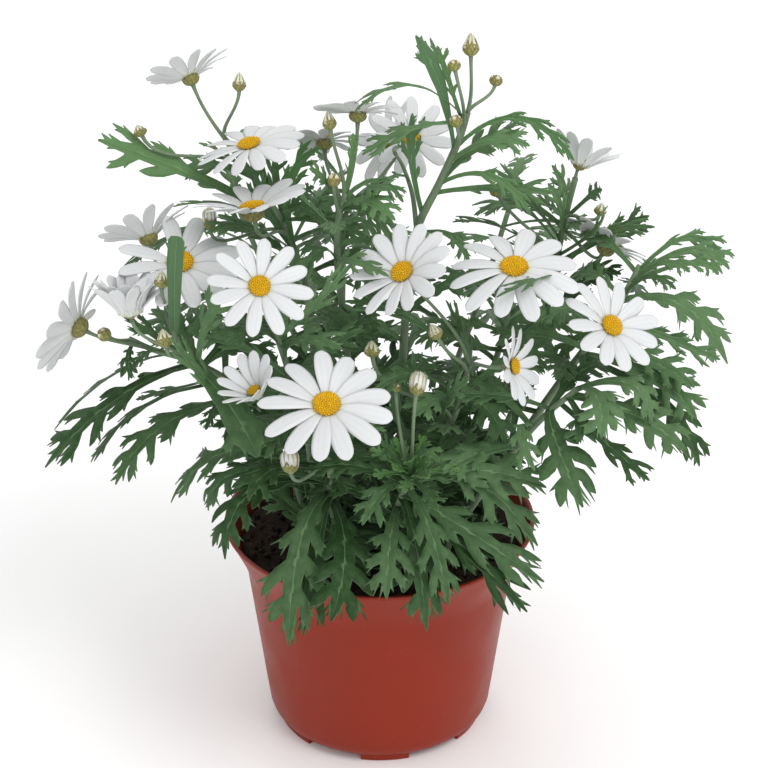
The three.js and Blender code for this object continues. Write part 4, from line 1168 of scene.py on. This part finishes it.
def leaf_swing(leaf):
    """How far the leaf's solid is moved along the line of sight."""
    node = shoot_of(leaf.stem)
    return min(SWINGS, key=lambda swing: off_solid(node, leaf_rib(leaf, swing)[0].point(1)))


# The room that a bloom keeps, in millimetres: below it, above it, and towards the viewer
ROOM_BELOW = -6
ROOM_ABOVE = 30
ROOM_IN_VIEW = 200
# Where the plant is open to the background: from and to in X, and in height as the camera sees it
OPEN_GAP_X = (16, 50.5)
OPEN_GAP_SEEN = (238, 264)
LOOK_SLOPE = 0.514
# The plant's outline where leaves are added: it widens from above the rim to its full radius
CROWN_FROM, CROWN_FULL, CROWN_TOP = 98, 190, 282
CROWN_START_RADIUS = 58
CROWN_SLOPE = 0.3
CROWN_RADIUS = 108
# The turn from one young leaf to the next
LEAF_TURN = 2.4
# Young leaves: from where and over how much of the stem, and by how many steps out of place
FILLER_FROM, FILLER_SPAN, FILLER_SHIFT = 0.14, 0.78, 0.25
FILLER_REACH = (26, 42)
FILLER_RISE = (-6, 18)
FILLER_WIDTH = (9, 14)
FILLER_BEND = (6, 14)
# How much further, higher and wider they grow at a stem's foot
LOW_REACH, LOW_RISE, LOW_WIDTH = 16, 14, 6
# How light a leaf is: by chance, by its tip's height as painted light from above, and in the rosette
TONES = (-0.15, 0.5)
PAINTED_LIGHT_FROM, PAINTED_LIGHT_OVER, PAINTED_LIGHT_MOST = 110, 200, 0.8
ROSETTE_TONES = (1.2, 1.9)


def clears_blooms(curve, width):
    """Whether a leaf keeps out of the blooms and out of the space before them."""
    for share in shares(5)[1:]:
        point = curve.point(share)
        for bloom in BLOOMS:
            away = point - bloom.centre
            for line, reach in ((bloom.axis, ROOM_ABOVE), (FACING_CAMERA, ROOM_IN_VIEW)):
                height = away.dot(line)
                radius = (away - line * height).length
                room = bloom.diameter * 0.5 + width * 0.25
                if ROOM_BELOW < height < reach and radius < room:
                    return False
    return True


def in_open_gap(tip):
    """Whether a leaf's tip would close the gap that the plant has beside its tallest stem."""
    across = OPEN_GAP_X[0] < tip.x < OPEN_GAP_X[1]
    return across and OPEN_GAP_SEEN[0] < tip.z + tip.y * LOOK_SLOPE < OPEN_GAP_SEEN[1]


def in_crown(tip):
    """Whether a leaf's tip is within the round outline of the plant."""
    room = CROWN_START_RADIUS + CROWN_SLOPE * (tip.z - CROWN_FROM)
    if tip.z >= CROWN_FULL:
        room = CROWN_RADIUS
    return CROWN_FROM <= tip.z <= CROWN_TOP and Vector((tip.x, tip.y, 0)).length <= room


def filler_leaves(count):
    """Young leaves up the stems, set round them by the golden angle."""
    rng = chance_for("fillers")
    leaves = []
    for name, (_, foot, _) in STEMS.items():
        turn = rng.uniform(0, 2 * math.pi)
        wanted = count if foot else count / 2
        for i in range(int(wanted)):
            shift = rng.uniform(-FILLER_SHIFT, FILLER_SHIFT)
            at = FILLER_FROM + FILLER_SPAN * (i + shift) / wanted
            turn += LEAF_TURN
            low = 1 - at
            reach = rng.uniform(*FILLER_REACH) + LOW_REACH * low
            tip = CURVES[name].point(at) + polar(1, turn) * reach
            tip += UP * rng.uniform(*FILLER_RISE)
            tip.z += LOW_RISE * low
            if not in_crown(tip):
                continue
            width = rng.uniform(*FILLER_WIDTH) + LOW_WIDTH * low
            bend = rng.uniform(*FILLER_BEND)
            leaf = Leaf(name, at, *tip, 0, bend, width, 0, rng.choice((2, 3)))
            if clears_blooms(leaf_rib(leaf, 0)[0], width) and not in_open_gap(tip):
                leaves.append(leaf)
    return leaves


def rosette_leaves():
    """The bright young leaves at the tip of the front shoot, more upright in its middle."""
    rng = chance_for("rosette")
    name, at, count = "g0", 0.97, 16
    start = CURVES[name].point(at)
    forward = Vector((0, -4, 0))
    leaves = []
    for i in range(count):
        lean = 0.35 + 0.65 * i / count
        away = polar(1, i * LEAF_TURN) * lean
        tip = start + (away + UP * (1.2 - lean)) * rng.uniform(17, 25) + forward
        leaves.append(Leaf(name, at, *tip, 0, 3, rng.uniform(4, 6), 0, 2))
    return leaves


def leaf_tone(leaf, kind, rng):
    """How light a leaf is: painted lighter high up on the plant as light from above, and brightest in
    the rosette.
    """
    # Painted light: leaves higher on the plant are painted lighter, as if lit from above
    painted_top_light = min(max((leaf.z - PAINTED_LIGHT_FROM) / PAINTED_LIGHT_OVER, 0), PAINTED_LIGHT_MOST)
    tone = rng.uniform(*TONES) + painted_top_light
    return rng.uniform(*ROSETTE_TONES) if kind == "rosette" else tone


def make_leaves(settings):
    rng = chance_for("leaves")
    drafts = defaultdict(new_draft)
    groups = {
        "solid": LEAVES,
        "small": SMALL_LEAVES,
        "filler": filler_leaves(settings.fillers),
        "rosette": rosette_leaves(),
    }
    leaves = [(kind, Leaf(*row)) for kind, rows in groups.items() for row in rows]
    for number, (kind, leaf) in enumerate(leaves):
        draft = drafts[shoot_of(leaf.stem)]
        curve, side = leaf_rib(leaf, leaf_swing(leaf) if kind == "solid" else 0)
        length = curve.length()
        first = len(draft.verts)
        Blade(draft, leaf, length, number, leaf_tone(leaf, kind, rng))
        draft.verts.ensure_lookup_table()
        lay_leaf(draft.verts[first:], curve, side, length, number)
    under = settings.under_colour
    upper_look = leaf_material("leaf_upper", settings.colour, settings.light_colour, settings)
    under_look = leaf_material("leaf_under", under, shade(under, 1.25), settings)
    finish_shoots(drafts, "leaves", [upper_look, under_look], settings.thickness)


# Blooms

# A petal's half width along its length, the rows that it is drawn in, and its columns
PETAL_OUTLINE = (
    (0, 0.3), (0.15, 0.5), (0.32, 0.78), (0.48, 0.96), (0.6, 1.0), (0.74, 0.97), (0.85, 0.88),
    (0.92, 0.73), (0.965, 0.52), (0.99, 0.3), (1, 0.12),
)
PETAL_ROWS = (0, 0.09, 0.2, 0.33, 0.47, 0.61, 0.74, 0.85, 0.92, 0.965, 0.99, 1.0)
PETAL_COLUMNS = 6
PETAL_FILL = 0.93
PETAL_TUCK = -0.16
# A petal's form: its arch and droop as shares of its length, its grooves and trough in millimetres
PETAL_ARCH = 0.075
PETAL_DROOP = 0.02
PETAL_GROOVE = 0.16
PETAL_TROUGH = -0.35
PETAL_BEND = 0.03
PETAL_TONES = (0, 0.6)
# The columns that lie in the petal's grooves, which carry the painted shade along them
SHADED_GROOVE_COLUMNS = (2, 4)
TIP_FROM = 0.9
TIP_NOTCH = 0.02
# A petal that a bloom has lost, and the blooms whose short inner petals stand up, with their number
LOST_PETALS = {(6, 7)}
SHAGGY = {7: 10}
FIRST_INNER_PETAL = 40
INNER_SWING = (6, 30)
INNER_SIZE = (0.7, 0.95)
# How near a solid's corners a petal's end is when it is that solid's petal, in millimetres
SOLID_FIT = 1.2

GOLDEN_ANGLE = math.pi * (3 - math.sqrt(5))
# The disc under its florets: its share of the solid's radius, and its foot and rise as shares of
# the solid's height
DOME_SHARE = 0.9
DOME_FOOT, DOME_RISE = 0.12, 0.74
DOME_ANGLES = (0, 0.3, 0.6, 0.9, 1.2)
DOME_SIDES = 24
LARGEST_DISC = 6.2
FLORET_SIZE = 0.085
FLORET_UNEVEN = (0.85, 1.1)
FLORET_STRETCH = (1.1, 1.7)


def petal_frame(bloom, k, swing):
    """Where petal k starts, its directions and its length, as its solid has them."""
    number = bloom.number
    ring = 2 * math.pi / bloom.petals
    middle = (k + 0.5 + PETAL_SHIFT * jitter(number * 31, k)) * ring
    rise = math.radians(bloom.cup + swing + PETAL_NOD * jitter(number * 41, k))
    outward = polar(1, middle)
    along = outward * math.cos(rise) + UP * math.sin(rise)
    side = along.cross(UP).normalized()
    side.rotate(Matrix.Rotation(math.radians(PETAL_TWIST), 3, along))
    start = outward * bloom.hub * math.cos(ring / 2) + UP * HUB_HEIGHT / 2
    length = (bloom.diameter / 2 - bloom.hub) * (1 + PETAL_STRETCH * jitter(number * 37, k))
    return start, along, side, side.cross(along), length


def petal_swing(bloom, k):
    """How far the solid's petal is swung up. A petal that only the scene has isn't swung."""

    def misfit(swing):
        start, along, side, normal, length = petal_frame(bloom, k, swing)
        half = 0.45 * PETAL_WIDTH * bloom.diameter / 2
        end = start + along * length - normal * 0.02 * length
        corners = [bloom.place @ (end + side * half * sign) for sign in (1, -1)]
        return max(off_solid(f"bloom_{bloom.label}_petals", corner) for corner in corners)

    swing = min(CUP_SWINGS, key=misfit)
    return swing if misfit(swing) < SOLID_FIT else 0


def petal_places(bloom, rng):
    """Each petal's number, the frame it stands in, its swing and its share of the full length."""
    for k in range(bloom.petals):
        if (bloom.number, k) not in LOST_PETALS:
            yield k, bloom.place, petal_swing(bloom, k), 1
    between = bloom.place @ Matrix.Rotation(math.pi / bloom.petals, 4, "Z")
    for k in range(SHAGGY.get(bloom.number, 0)):
        swing, size = rng.uniform(*INNER_SWING), rng.uniform(*INNER_SIZE)
        yield FIRST_INNER_PETAL + k, between, swing, size


def add_petal(draft, bloom, k, place, swing, size, bend, tone):
    """One petal, arched along its length and grooved across it."""
    start, along, side, normal, length = petal_frame(bloom, k, swing)
    length *= size
    width = PETAL_FILL * PETAL_WIDTH * bloom.diameter / 2
    rows = grid_rows(draft, len(PETAL_ROWS) - 1, PETAL_COLUMNS)
    for share, row in zip(PETAL_ROWS, rows):
        half = blend_points(PETAL_OUTLINE, share) * width
        arch = PETAL_ARCH * math.sin(math.pi * share) - PETAL_DROOP * share + bend * share * share
        for c, vertex in enumerate(row):
            out = 2 * c / PETAL_COLUMNS - 1
            reach = PETAL_TUCK + (1 - PETAL_TUCK) * share
            if share > TIP_FROM:
                reach -= TIP_NOTCH * out * out * (share - TIP_FROM) * 10
            ridges = math.cos(3 * math.pi * out) * math.sin(math.pi * min(share, TIP_FROM))
            lift = arch * length + PETAL_GROOVE * ridges + PETAL_TROUGH * out * out * (1 - share)
            point = start + along * (reach * length) + side * (out * half) + normal * lift
            vertex.co = place @ point
            # Vertices in a groove get the painted shade of the groove
            in_shaded_groove = c in SHADED_GROOVE_COLUMNS and 0.1 < share < TIP_FROM
            paint(draft, (vertex,), along=share, tone=tone, rib=1 if in_shaded_groove else 0)


def make_petals(settings):
    look = petal_material(settings)
    for bloom in BLOOMS:
        rng = chance_for("petals", bloom.number)
        draft = new_draft()
        for place in petal_places(bloom, rng):
            bend, tone = rng.uniform(-PETAL_BEND, PETAL_BEND), rng.uniform(*PETAL_TONES)
            add_petal(draft, bloom, *place, bend, tone)
        name, node = f"petals_{bloom.label}", f"bloom_{bloom.label}_petals"
        finish_piece(draft, name, [node], [look, look], settings.petal_thickness)


def dome_height(radius, rise):
    """The height of a disc of that radius, where rise is 0 at its edge and 1 in its middle."""
    return HUB_HEIGHT + GAP + radius * DISC_HEIGHT * (DOME_FOOT + DOME_RISE * rise)


def add_dome(draft, radius):
    """The smooth dome under the florets."""
    slope = [
        (radius * math.cos(angle), dome_height(radius, math.sin(angle))) for angle in DOME_ANGLES
    ]
    ends = (0, HUB_HEIGHT + GAP), (0, dome_height(radius, 1))
    spin_profile(draft, (ends[0], *slope, ends[1]), DOME_SIDES)
    # The dome's rib stays 0, which gives it the floret material's painted shade between the florets
    paint(draft, draft.verts, tone=0.2, along=0.5)


def add_florets(draft, radius, count, rng):
    """Florets over the dome, set by the golden angle, the outer ones leaning out."""
    for i in range(count):
        share = math.sqrt((i + 0.5) / count)
        lean = math.asin(min(share, 0.995))
        spot = polar(radius * share, i * GOLDEN_ANGLE, dome_height(radius, math.cos(lean)))
        size = radius * FLORET_SIZE * rng.uniform(*FLORET_UNEVEN)
        up = (Vector((spot.x, spot.y, 0)) / radius + UP * (1.25 - share)).normalized()
        turn = UP.rotation_difference(up).to_matrix().to_4x4()
        stretch = Matrix.Diagonal((1, 1, rng.uniform(*FLORET_STRETCH), 1))
        place = Matrix.Translation(spot) @ turn @ stretch
        made = bmesh.ops.create_icosphere(draft, subdivisions=1, radius=size, matrix=place)
        paint(draft, made["verts"], rib=1, tone=rng.random(), along=share)


def make_discs(settings):
    look = floret_material(settings)
    for bloom in BLOOMS:
        draft = new_draft()
        radius = bloom.disc * DOME_SHARE
        add_dome(draft, radius)
        count = int(settings.florets * (radius / LARGEST_DISC) ** 2)
        add_florets(draft, radius, count, chance_for("florets", bloom.number))
        bmesh.ops.transform(draft, matrix=bloom.place, verts=draft.verts)
        name, node = f"florets_{bloom.label}", f"bloom_{bloom.label}_disc"
        finish_piece(draft, name, [node], [look])


# Green cups and buds: a smooth body with overlapping bracts

GREEN, TIP = 0, 1
CUP_SIDES = 20
BUD_SIDES = 14
BODY_STEPS = 8
# Rings of bracts: from and to along the height, and their number
CUP_BRACTS = ((0.02, 0.5, 8), (0.15, 0.78, 11), (0.32, 0.99, 13))
BUD_BRACTS = (
    ((0.02, 0.5, 7), (0.12, 0.76, 8), (0.3, 1.0, 9)),
    ((0.02, 0.34, 7), (0.07, 0.52, 8), (0.14, 0.68, 9)),
    ((0.02, 0.24, 7), (0.05, 0.36, 8), (0.1, 0.52, 9)),
)
# The petals in a bud: from and to, their number, half their width in radians, and how white
BUD_PETALS = ((0.55, 0.99, 6, 0.34, 0.0), (0.2, 1.0, 9, 0.27, 0.5), (0.14, 1.04, 12, 0.24, 1.6))
# A bract's half width along it, how far it overlaps the next, and how far it stands off the body
BRACT_OUTLINE = (0.85, 1.0, 0.95, 0.75, 0.45, 0.1)
BRACT_OVERLAP = 1.15
CUP_LIFT = 0.25
BUD_LIFT = 0.16
BUD_PETAL_SHIFT = 0.12
BUD_PETAL_END = (-0.1, 0.02)
BUD_PETAL_LIFT = (0.15, 0.45)


def add_bract(draft, flower, turn, low, high, half_angle, tone, lift, material=GREEN):
    """One bract on a cup or bud, from a low to a high share of its height."""
    steps = len(BRACT_OUTLINE) - 1
    rows = grid_rows(draft, steps, 4)
    for share, row, reach in zip(shares(steps), rows, BRACT_OUTLINE):
        radius, height = flower.outline(low + (high - low) * share)
        for c, vertex in enumerate(row):
            out = c / 2 - 1
            stand = radius + lift * (0.4 + 1.2 * share) - 0.12 * out * out * lift
            vertex.co = flower.place @ polar(stand, turn + out * reach * half_angle, height)
            rib = (1 - abs(out)) * (1 if share < 0.7 else 0.3)
            paint(draft, (vertex,), rib=rib, tone=tone, along=share)
        cover(row, material)


def add_bracts(draft, flower, rings, lift, rng):
    """Rings of bracts that overlap like scales."""
    for low, high, count in rings:
        half_angle = BRACT_OVERLAP * math.pi / count
        for k in range(count):
            turn = 2 * math.pi * (k + 0.5 * (count % 2)) / count
            add_bract(draft, flower, turn, low, high, half_angle, rng.random(), lift)


def add_body(draft, flower, sides, material=GREEN):
    """The closed body under the bracts."""
    before = set(draft.verts)
    ring = bmesh.ops.create_circle(draft, segments=sides, radius=1, cap_ends=True)["verts"]
    turns = [math.atan2(vertex.co.y, vertex.co.x) for vertex in ring]
    for share in shares(BODY_STEPS):
        if share:
            ring = extrude_row(draft, ring, closed=True)
        radius, height = flower.outline(share)
        for vertex, turn in zip(ring, turns):
            vertex.co = polar(radius, turn, height)
    bmesh.ops.contextual_create(draft, geom=ring)
    made = [vertex for vertex in draft.verts if vertex not in before]
    # On a bud the body is painted a low along, so it takes some of the brown foot colour: painted
    # shade in the gaps between the bud's petals
    paint(draft, made, rib=0.8, tone=0.3, along=0.24 if material == TIP else 0.5)
    bmesh.ops.transform(draft, matrix=flower.place, verts=made)
    cover(made, material)


def make_bracts(settings):
    drafts = defaultdict(new_draft)
    for bloom in BLOOMS:
        draft = drafts[shoot_of(bloom.stem)]
        add_body(draft, bloom, CUP_SIDES)
        add_bracts(draft, bloom, CUP_BRACTS, CUP_LIFT, chance_for("cups", bloom.number))
    for bud in BUDS:
        rng = chance_for("buds", bud.number)
        draft = drafts[shoot_of(bud.stem)]
        add_body(draft, bud, BUD_SIDES, TIP)
        add_bracts(draft, bud, BUD_BRACTS[bud.kind], BUD_LIFT, rng)
        low, high, count, half_angle, white = BUD_PETALS[bud.kind]
        for k in range(count):
            shift = rng.uniform(-BUD_PETAL_SHIFT, BUD_PETAL_SHIFT)
            turn = 2 * math.pi * (k + shift) / count
            end = high + rng.uniform(*BUD_PETAL_END)
            tone = rng.random() * white
            lift = rng.uniform(*BUD_PETAL_LIFT)
            add_bract(draft, bud, turn, low, end, half_angle, tone, lift, TIP)
    finish_shoots(drafts, "bracts", [bract_material(settings), bud_tip_material(settings)])


# The stage: a pale floor, soft light and the camera

CAMERA_TARGET = Vector((0.002, 0, 0.168))
CAMERA_DISTANCE = 1.1
CAMERA_DOWN = 27.2
SENSOR_WIDTH = 36
FLOOR_SIZE = 6
# Lights: name, place, size, and share of the key light's power
LIGHTS = (
    ("key", (0.9, -1.1, 1.9), 1.1, 1),
    ("fill", (0.35, -2.1, 0.3), 1.6, 0.6),
    ("back", (-0.4, 1.6, 1.5), 1.2, 0.4),
)


def aim(name, data, place, way):
    """Puts a light or the camera at a place, looking along a way."""
    thing = bpy.data.objects.new(name, data)
    bpy.context.scene.collection.objects.link(thing)
    thing.location = place
    thing.rotation_mode = "QUATERNION"
    thing.rotation_quaternion = way.to_track_quat("-Z", "Y")
    return thing


def make_stage(settings):
    scene = bpy.context.scene
    draft = bmesh.new()
    bmesh.ops.create_grid(draft, x_segments=1, y_segments=1, size=FLOOR_SIZE)
    mesh = bpy.data.meshes.new("floor")
    draft.to_mesh(mesh)
    draft.free()
    floor = bpy.data.objects.new("floor", mesh)
    scene.collection.objects.link(floor)
    look = Look("floor_paint", settings.floor_colour, 0.9, 0.1)
    look.layer(shade(settings.floor_colour, 0.985), look.mottle(3, 2), 0, 1)
    mesh.materials.append(look.finish())
    floor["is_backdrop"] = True

    world = bpy.data.worlds.new("studio")
    world.use_nodes = True
    scene.world = world
    background = world.node_tree.nodes["Background"]
    background.inputs["Color"].default_value = (1, 1, 1, 1)
    background.inputs["Strength"].default_value = settings.sky_light

    for name, place, size, share in LIGHTS:
        data = bpy.data.lights.new(name, "AREA")
        data.shape = "DISK"
        data.size = size
        data.energy = settings.key_light * share
        aim(name, data, place, CAMERA_TARGET - Vector(place))

    data = bpy.data.cameras.new("camera")
    data.lens = settings.lens
    data.sensor_width = SENSOR_WIDTH
    data.clip_end = 20
    down = math.radians(CAMERA_DOWN)
    back = Vector((0, -math.cos(down), math.sin(down)))
    scene.camera = aim("camera", data, CAMERA_TARGET + back * CAMERA_DISTANCE, -back)
    scene.view_settings.view_transform = "Standard"


# The add-on's settings, operators and panel


def colour_setting(name, description, code):
    return FloatVectorProperty(
        name=name, description=description, subtype="COLOR", size=3, min=0, max=1,
        default=linear(code),
    )


class MargueritePotSettings(bpy.types.PropertyGroup):
    colour: colour_setting("Pot colour", "Colour of the pot's plastic", "822713")
    dust_colour: colour_setting("Dust colour", "Colour of the fine marks on the pot", "b07a6c")


class MargueriteSoilSettings(bpy.types.PropertyGroup):
    colour: colour_setting("Peat colour", "Colour of the damp peat", "1c1512")
    light_colour: colour_setting("Dry peat colour", "Colour of the peat's drier crumbs", "3a2d24")
    fibre_colour: colour_setting("Fibre colour", "Colour of the fibres in the peat", "6b5038")
    crumbs: IntProperty(
        name="Crumbs", description="Loose crumbs on the peat", default=700, min=0, max=3000
    )


class MargueriteLeafSettings(bpy.types.PropertyGroup):
    colour: colour_setting("Leaf colour", "Colour of the darkest leaves", "1d3d14")
    light_colour: colour_setting("Light leaf colour", "Colour of the lighter leaves", "5a7a50")
    young_colour: colour_setting("Young leaf colour", "Colour of the youngest leaves", "4b7a33")
    under_colour: colour_setting("Underside colour", "Colour under the leaves", "466441")
    rib_colour: colour_setting("Rib colour", "Colour of the midrib and veins", "7c9f71")
    stem_colour: colour_setting("Stem colour", "Colour of the stems", "5c6e54")
    thickness: FloatProperty(
        name="Leaf thickness", description="Thickness of a leaf, in mm", default=0.4, min=0.1, max=1
    )
    fillers: IntProperty(
        name="Young leaves", description="Extra young leaves on each stem", default=26, min=0, max=40
    )
    sides: IntProperty(
        name="Stem sides", description="Sides of a stem's tube", default=10, min=4, max=24
    )


class MargueriteBloomSettings(bpy.types.PropertyGroup):
    petal_colour: colour_setting("Petal colour", "Colour of the petals", "d7d9da")
    petal_foot_colour: colour_setting("Petal foot colour", "Colour at the foot of a petal", "c9cda2")
    disc_colour: colour_setting("Disc colour", "Colour of the disc's florets", "d2a61a")
    disc_edge_colour: colour_setting("Disc edge colour", "Colour of the outer florets", "c29314")
    bract_colour: colour_setting("Bract colour", "Colour of the green cups", "747a44")
    bract_edge_colour: colour_setting("Bract edge colour", "Colour of the bracts' edges", "744c30")
    bud_tip_colour: colour_setting("Bud colour", "Colour of the buds' tips", "d8d9bc")
    petal_thickness: FloatProperty(
        name="Petal thickness", description="Thickness of a petal, in mm", default=0.35, min=0.1, max=1
    )
    florets: IntProperty(
        name="Florets", description="Florets on the largest disc", default=150, min=30, max=400
    )


class MargueriteStageSettings(bpy.types.PropertyGroup):
    floor_colour: colour_setting("Floor colour", "Colour of the floor", "ffffff")
    key_light: FloatProperty(
        name="Key light", description="Power of the main light, in watts", default=17, min=0
    )
    sky_light: FloatProperty(
        name="Sky light", description="Strength of the light all round", default=0.84, min=0
    )
    lens: FloatProperty(
        name="Lens", description="Focal length in mm", default=117.3, min=20, max=300
    )


class MARGUERITE_OT_stage(bpy.types.Operator):
    """Sets the floor, the lights and the camera"""

    bl_idname = "marguerite.stage"
    bl_label = "Stage"

    def execute(self, context):
        make_stage(context.scene.marguerite_stage)
        return {"FINISHED"}


class MARGUERITE_OT_pot(bpy.types.Operator):
    """Turns the nursery pot with its rim and feet"""

    bl_idname = "marguerite.pot"
    bl_label = "Pot"

    def execute(self, context):
        make_pot(context.scene.marguerite_pot)
        return {"FINISHED"}


class MARGUERITE_OT_soil(bpy.types.Operator):
    """Fills the pot with peat"""

    bl_idname = "marguerite.soil"
    bl_label = "Soil"

    def execute(self, context):
        make_soil(context.scene.marguerite_soil)
        return {"FINISHED"}


class MARGUERITE_OT_stems(bpy.types.Operator):
    """Grows the stems and the flower stalks"""

    bl_idname = "marguerite.stems"
    bl_label = "Stems and stalks"

    def execute(self, context):
        make_stems(context.scene.marguerite_leaf)
        return {"FINISHED"}


class MARGUERITE_OT_leaves(bpy.types.Operator):
    """Grows the cut leaves of every shoot"""

    bl_idname = "marguerite.leaves"
    bl_label = "Leaves"

    def execute(self, context):
        make_leaves(context.scene.marguerite_leaf)
        return {"FINISHED"}


class MARGUERITE_OT_petals(bpy.types.Operator):
    """Opens the ring of petals of every bloom"""

    bl_idname = "marguerite.petals"
    bl_label = "Petals"

    def execute(self, context):
        make_petals(context.scene.marguerite_bloom)
        return {"FINISHED"}


class MARGUERITE_OT_discs(bpy.types.Operator):
    """Sets the florets of every disc"""

    bl_idname = "marguerite.discs"
    bl_label = "Discs"

    def execute(self, context):
        make_discs(context.scene.marguerite_bloom)
        return {"FINISHED"}


class MARGUERITE_OT_bracts(bpy.types.Operator):
    """Covers the cups and the buds with bracts"""

    bl_idname = "marguerite.bracts"
    bl_label = "Cups and buds"

    def execute(self, context):
        make_bracts(context.scene.marguerite_bloom)
        return {"FINISHED"}


STEPS = (
    MARGUERITE_OT_stage,
    MARGUERITE_OT_pot,
    MARGUERITE_OT_soil,
    MARGUERITE_OT_stems,
    MARGUERITE_OT_leaves,
    MARGUERITE_OT_petals,
    MARGUERITE_OT_discs,
    MARGUERITE_OT_bracts,
)
SETTINGS = {
    "marguerite_pot": MargueritePotSettings,
    "marguerite_soil": MargueriteSoilSettings,
    "marguerite_leaf": MargueriteLeafSettings,
    "marguerite_bloom": MargueriteBloomSettings,
    "marguerite_stage": MargueriteStageSettings,
}


class MARGUERITE_PT_panel(bpy.types.Panel):
    """The pieces of the plant and their settings"""

    bl_idname = "MARGUERITE_PT_panel"
    bl_label = "Marguerite daisy"
    bl_space_type = "VIEW_3D"
    bl_region_type = "UI"
    bl_category = "Marguerite"

    def draw(self, context):
        for name, group in SETTINGS.items():
            box = self.layout.box()
            for setting in group.__annotations__:
                box.prop(getattr(context.scene, name), setting)
        for step in STEPS:
            self.layout.operator(step.bl_idname)


def register():
    for group in SETTINGS.values():
        bpy.utils.register_class(group)
    for name, group in SETTINGS.items():
        setattr(bpy.types.Scene, name, PointerProperty(type=group))
    for item in (*STEPS, MARGUERITE_PT_panel):
        bpy.utils.register_class(item)


def unregister():
    for item in (MARGUERITE_PT_panel, *reversed(STEPS)):
        bpy.utils.unregister_class(item)
    for name in SETTINGS:
        delattr(bpy.types.Scene, name)
    for group in reversed(SETTINGS.values()):
        bpy.utils.unregister_class(group)


def main():
    register()
    bpy.ops.marguerite.stage()
    bpy.ops.marguerite.pot()
    bpy.ops.marguerite.soil()
    bpy.ops.marguerite.stems()
    bpy.ops.marguerite.leaves()
    bpy.ops.marguerite.petals()
    bpy.ops.marguerite.discs()
    bpy.ops.marguerite.bracts()
    boxes = {"cad": cad_box, "visual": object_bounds()}
    {name: [list(corner) for corner in box] for name, box in boxes.items()}


if __name__ == "__main__":
    main()
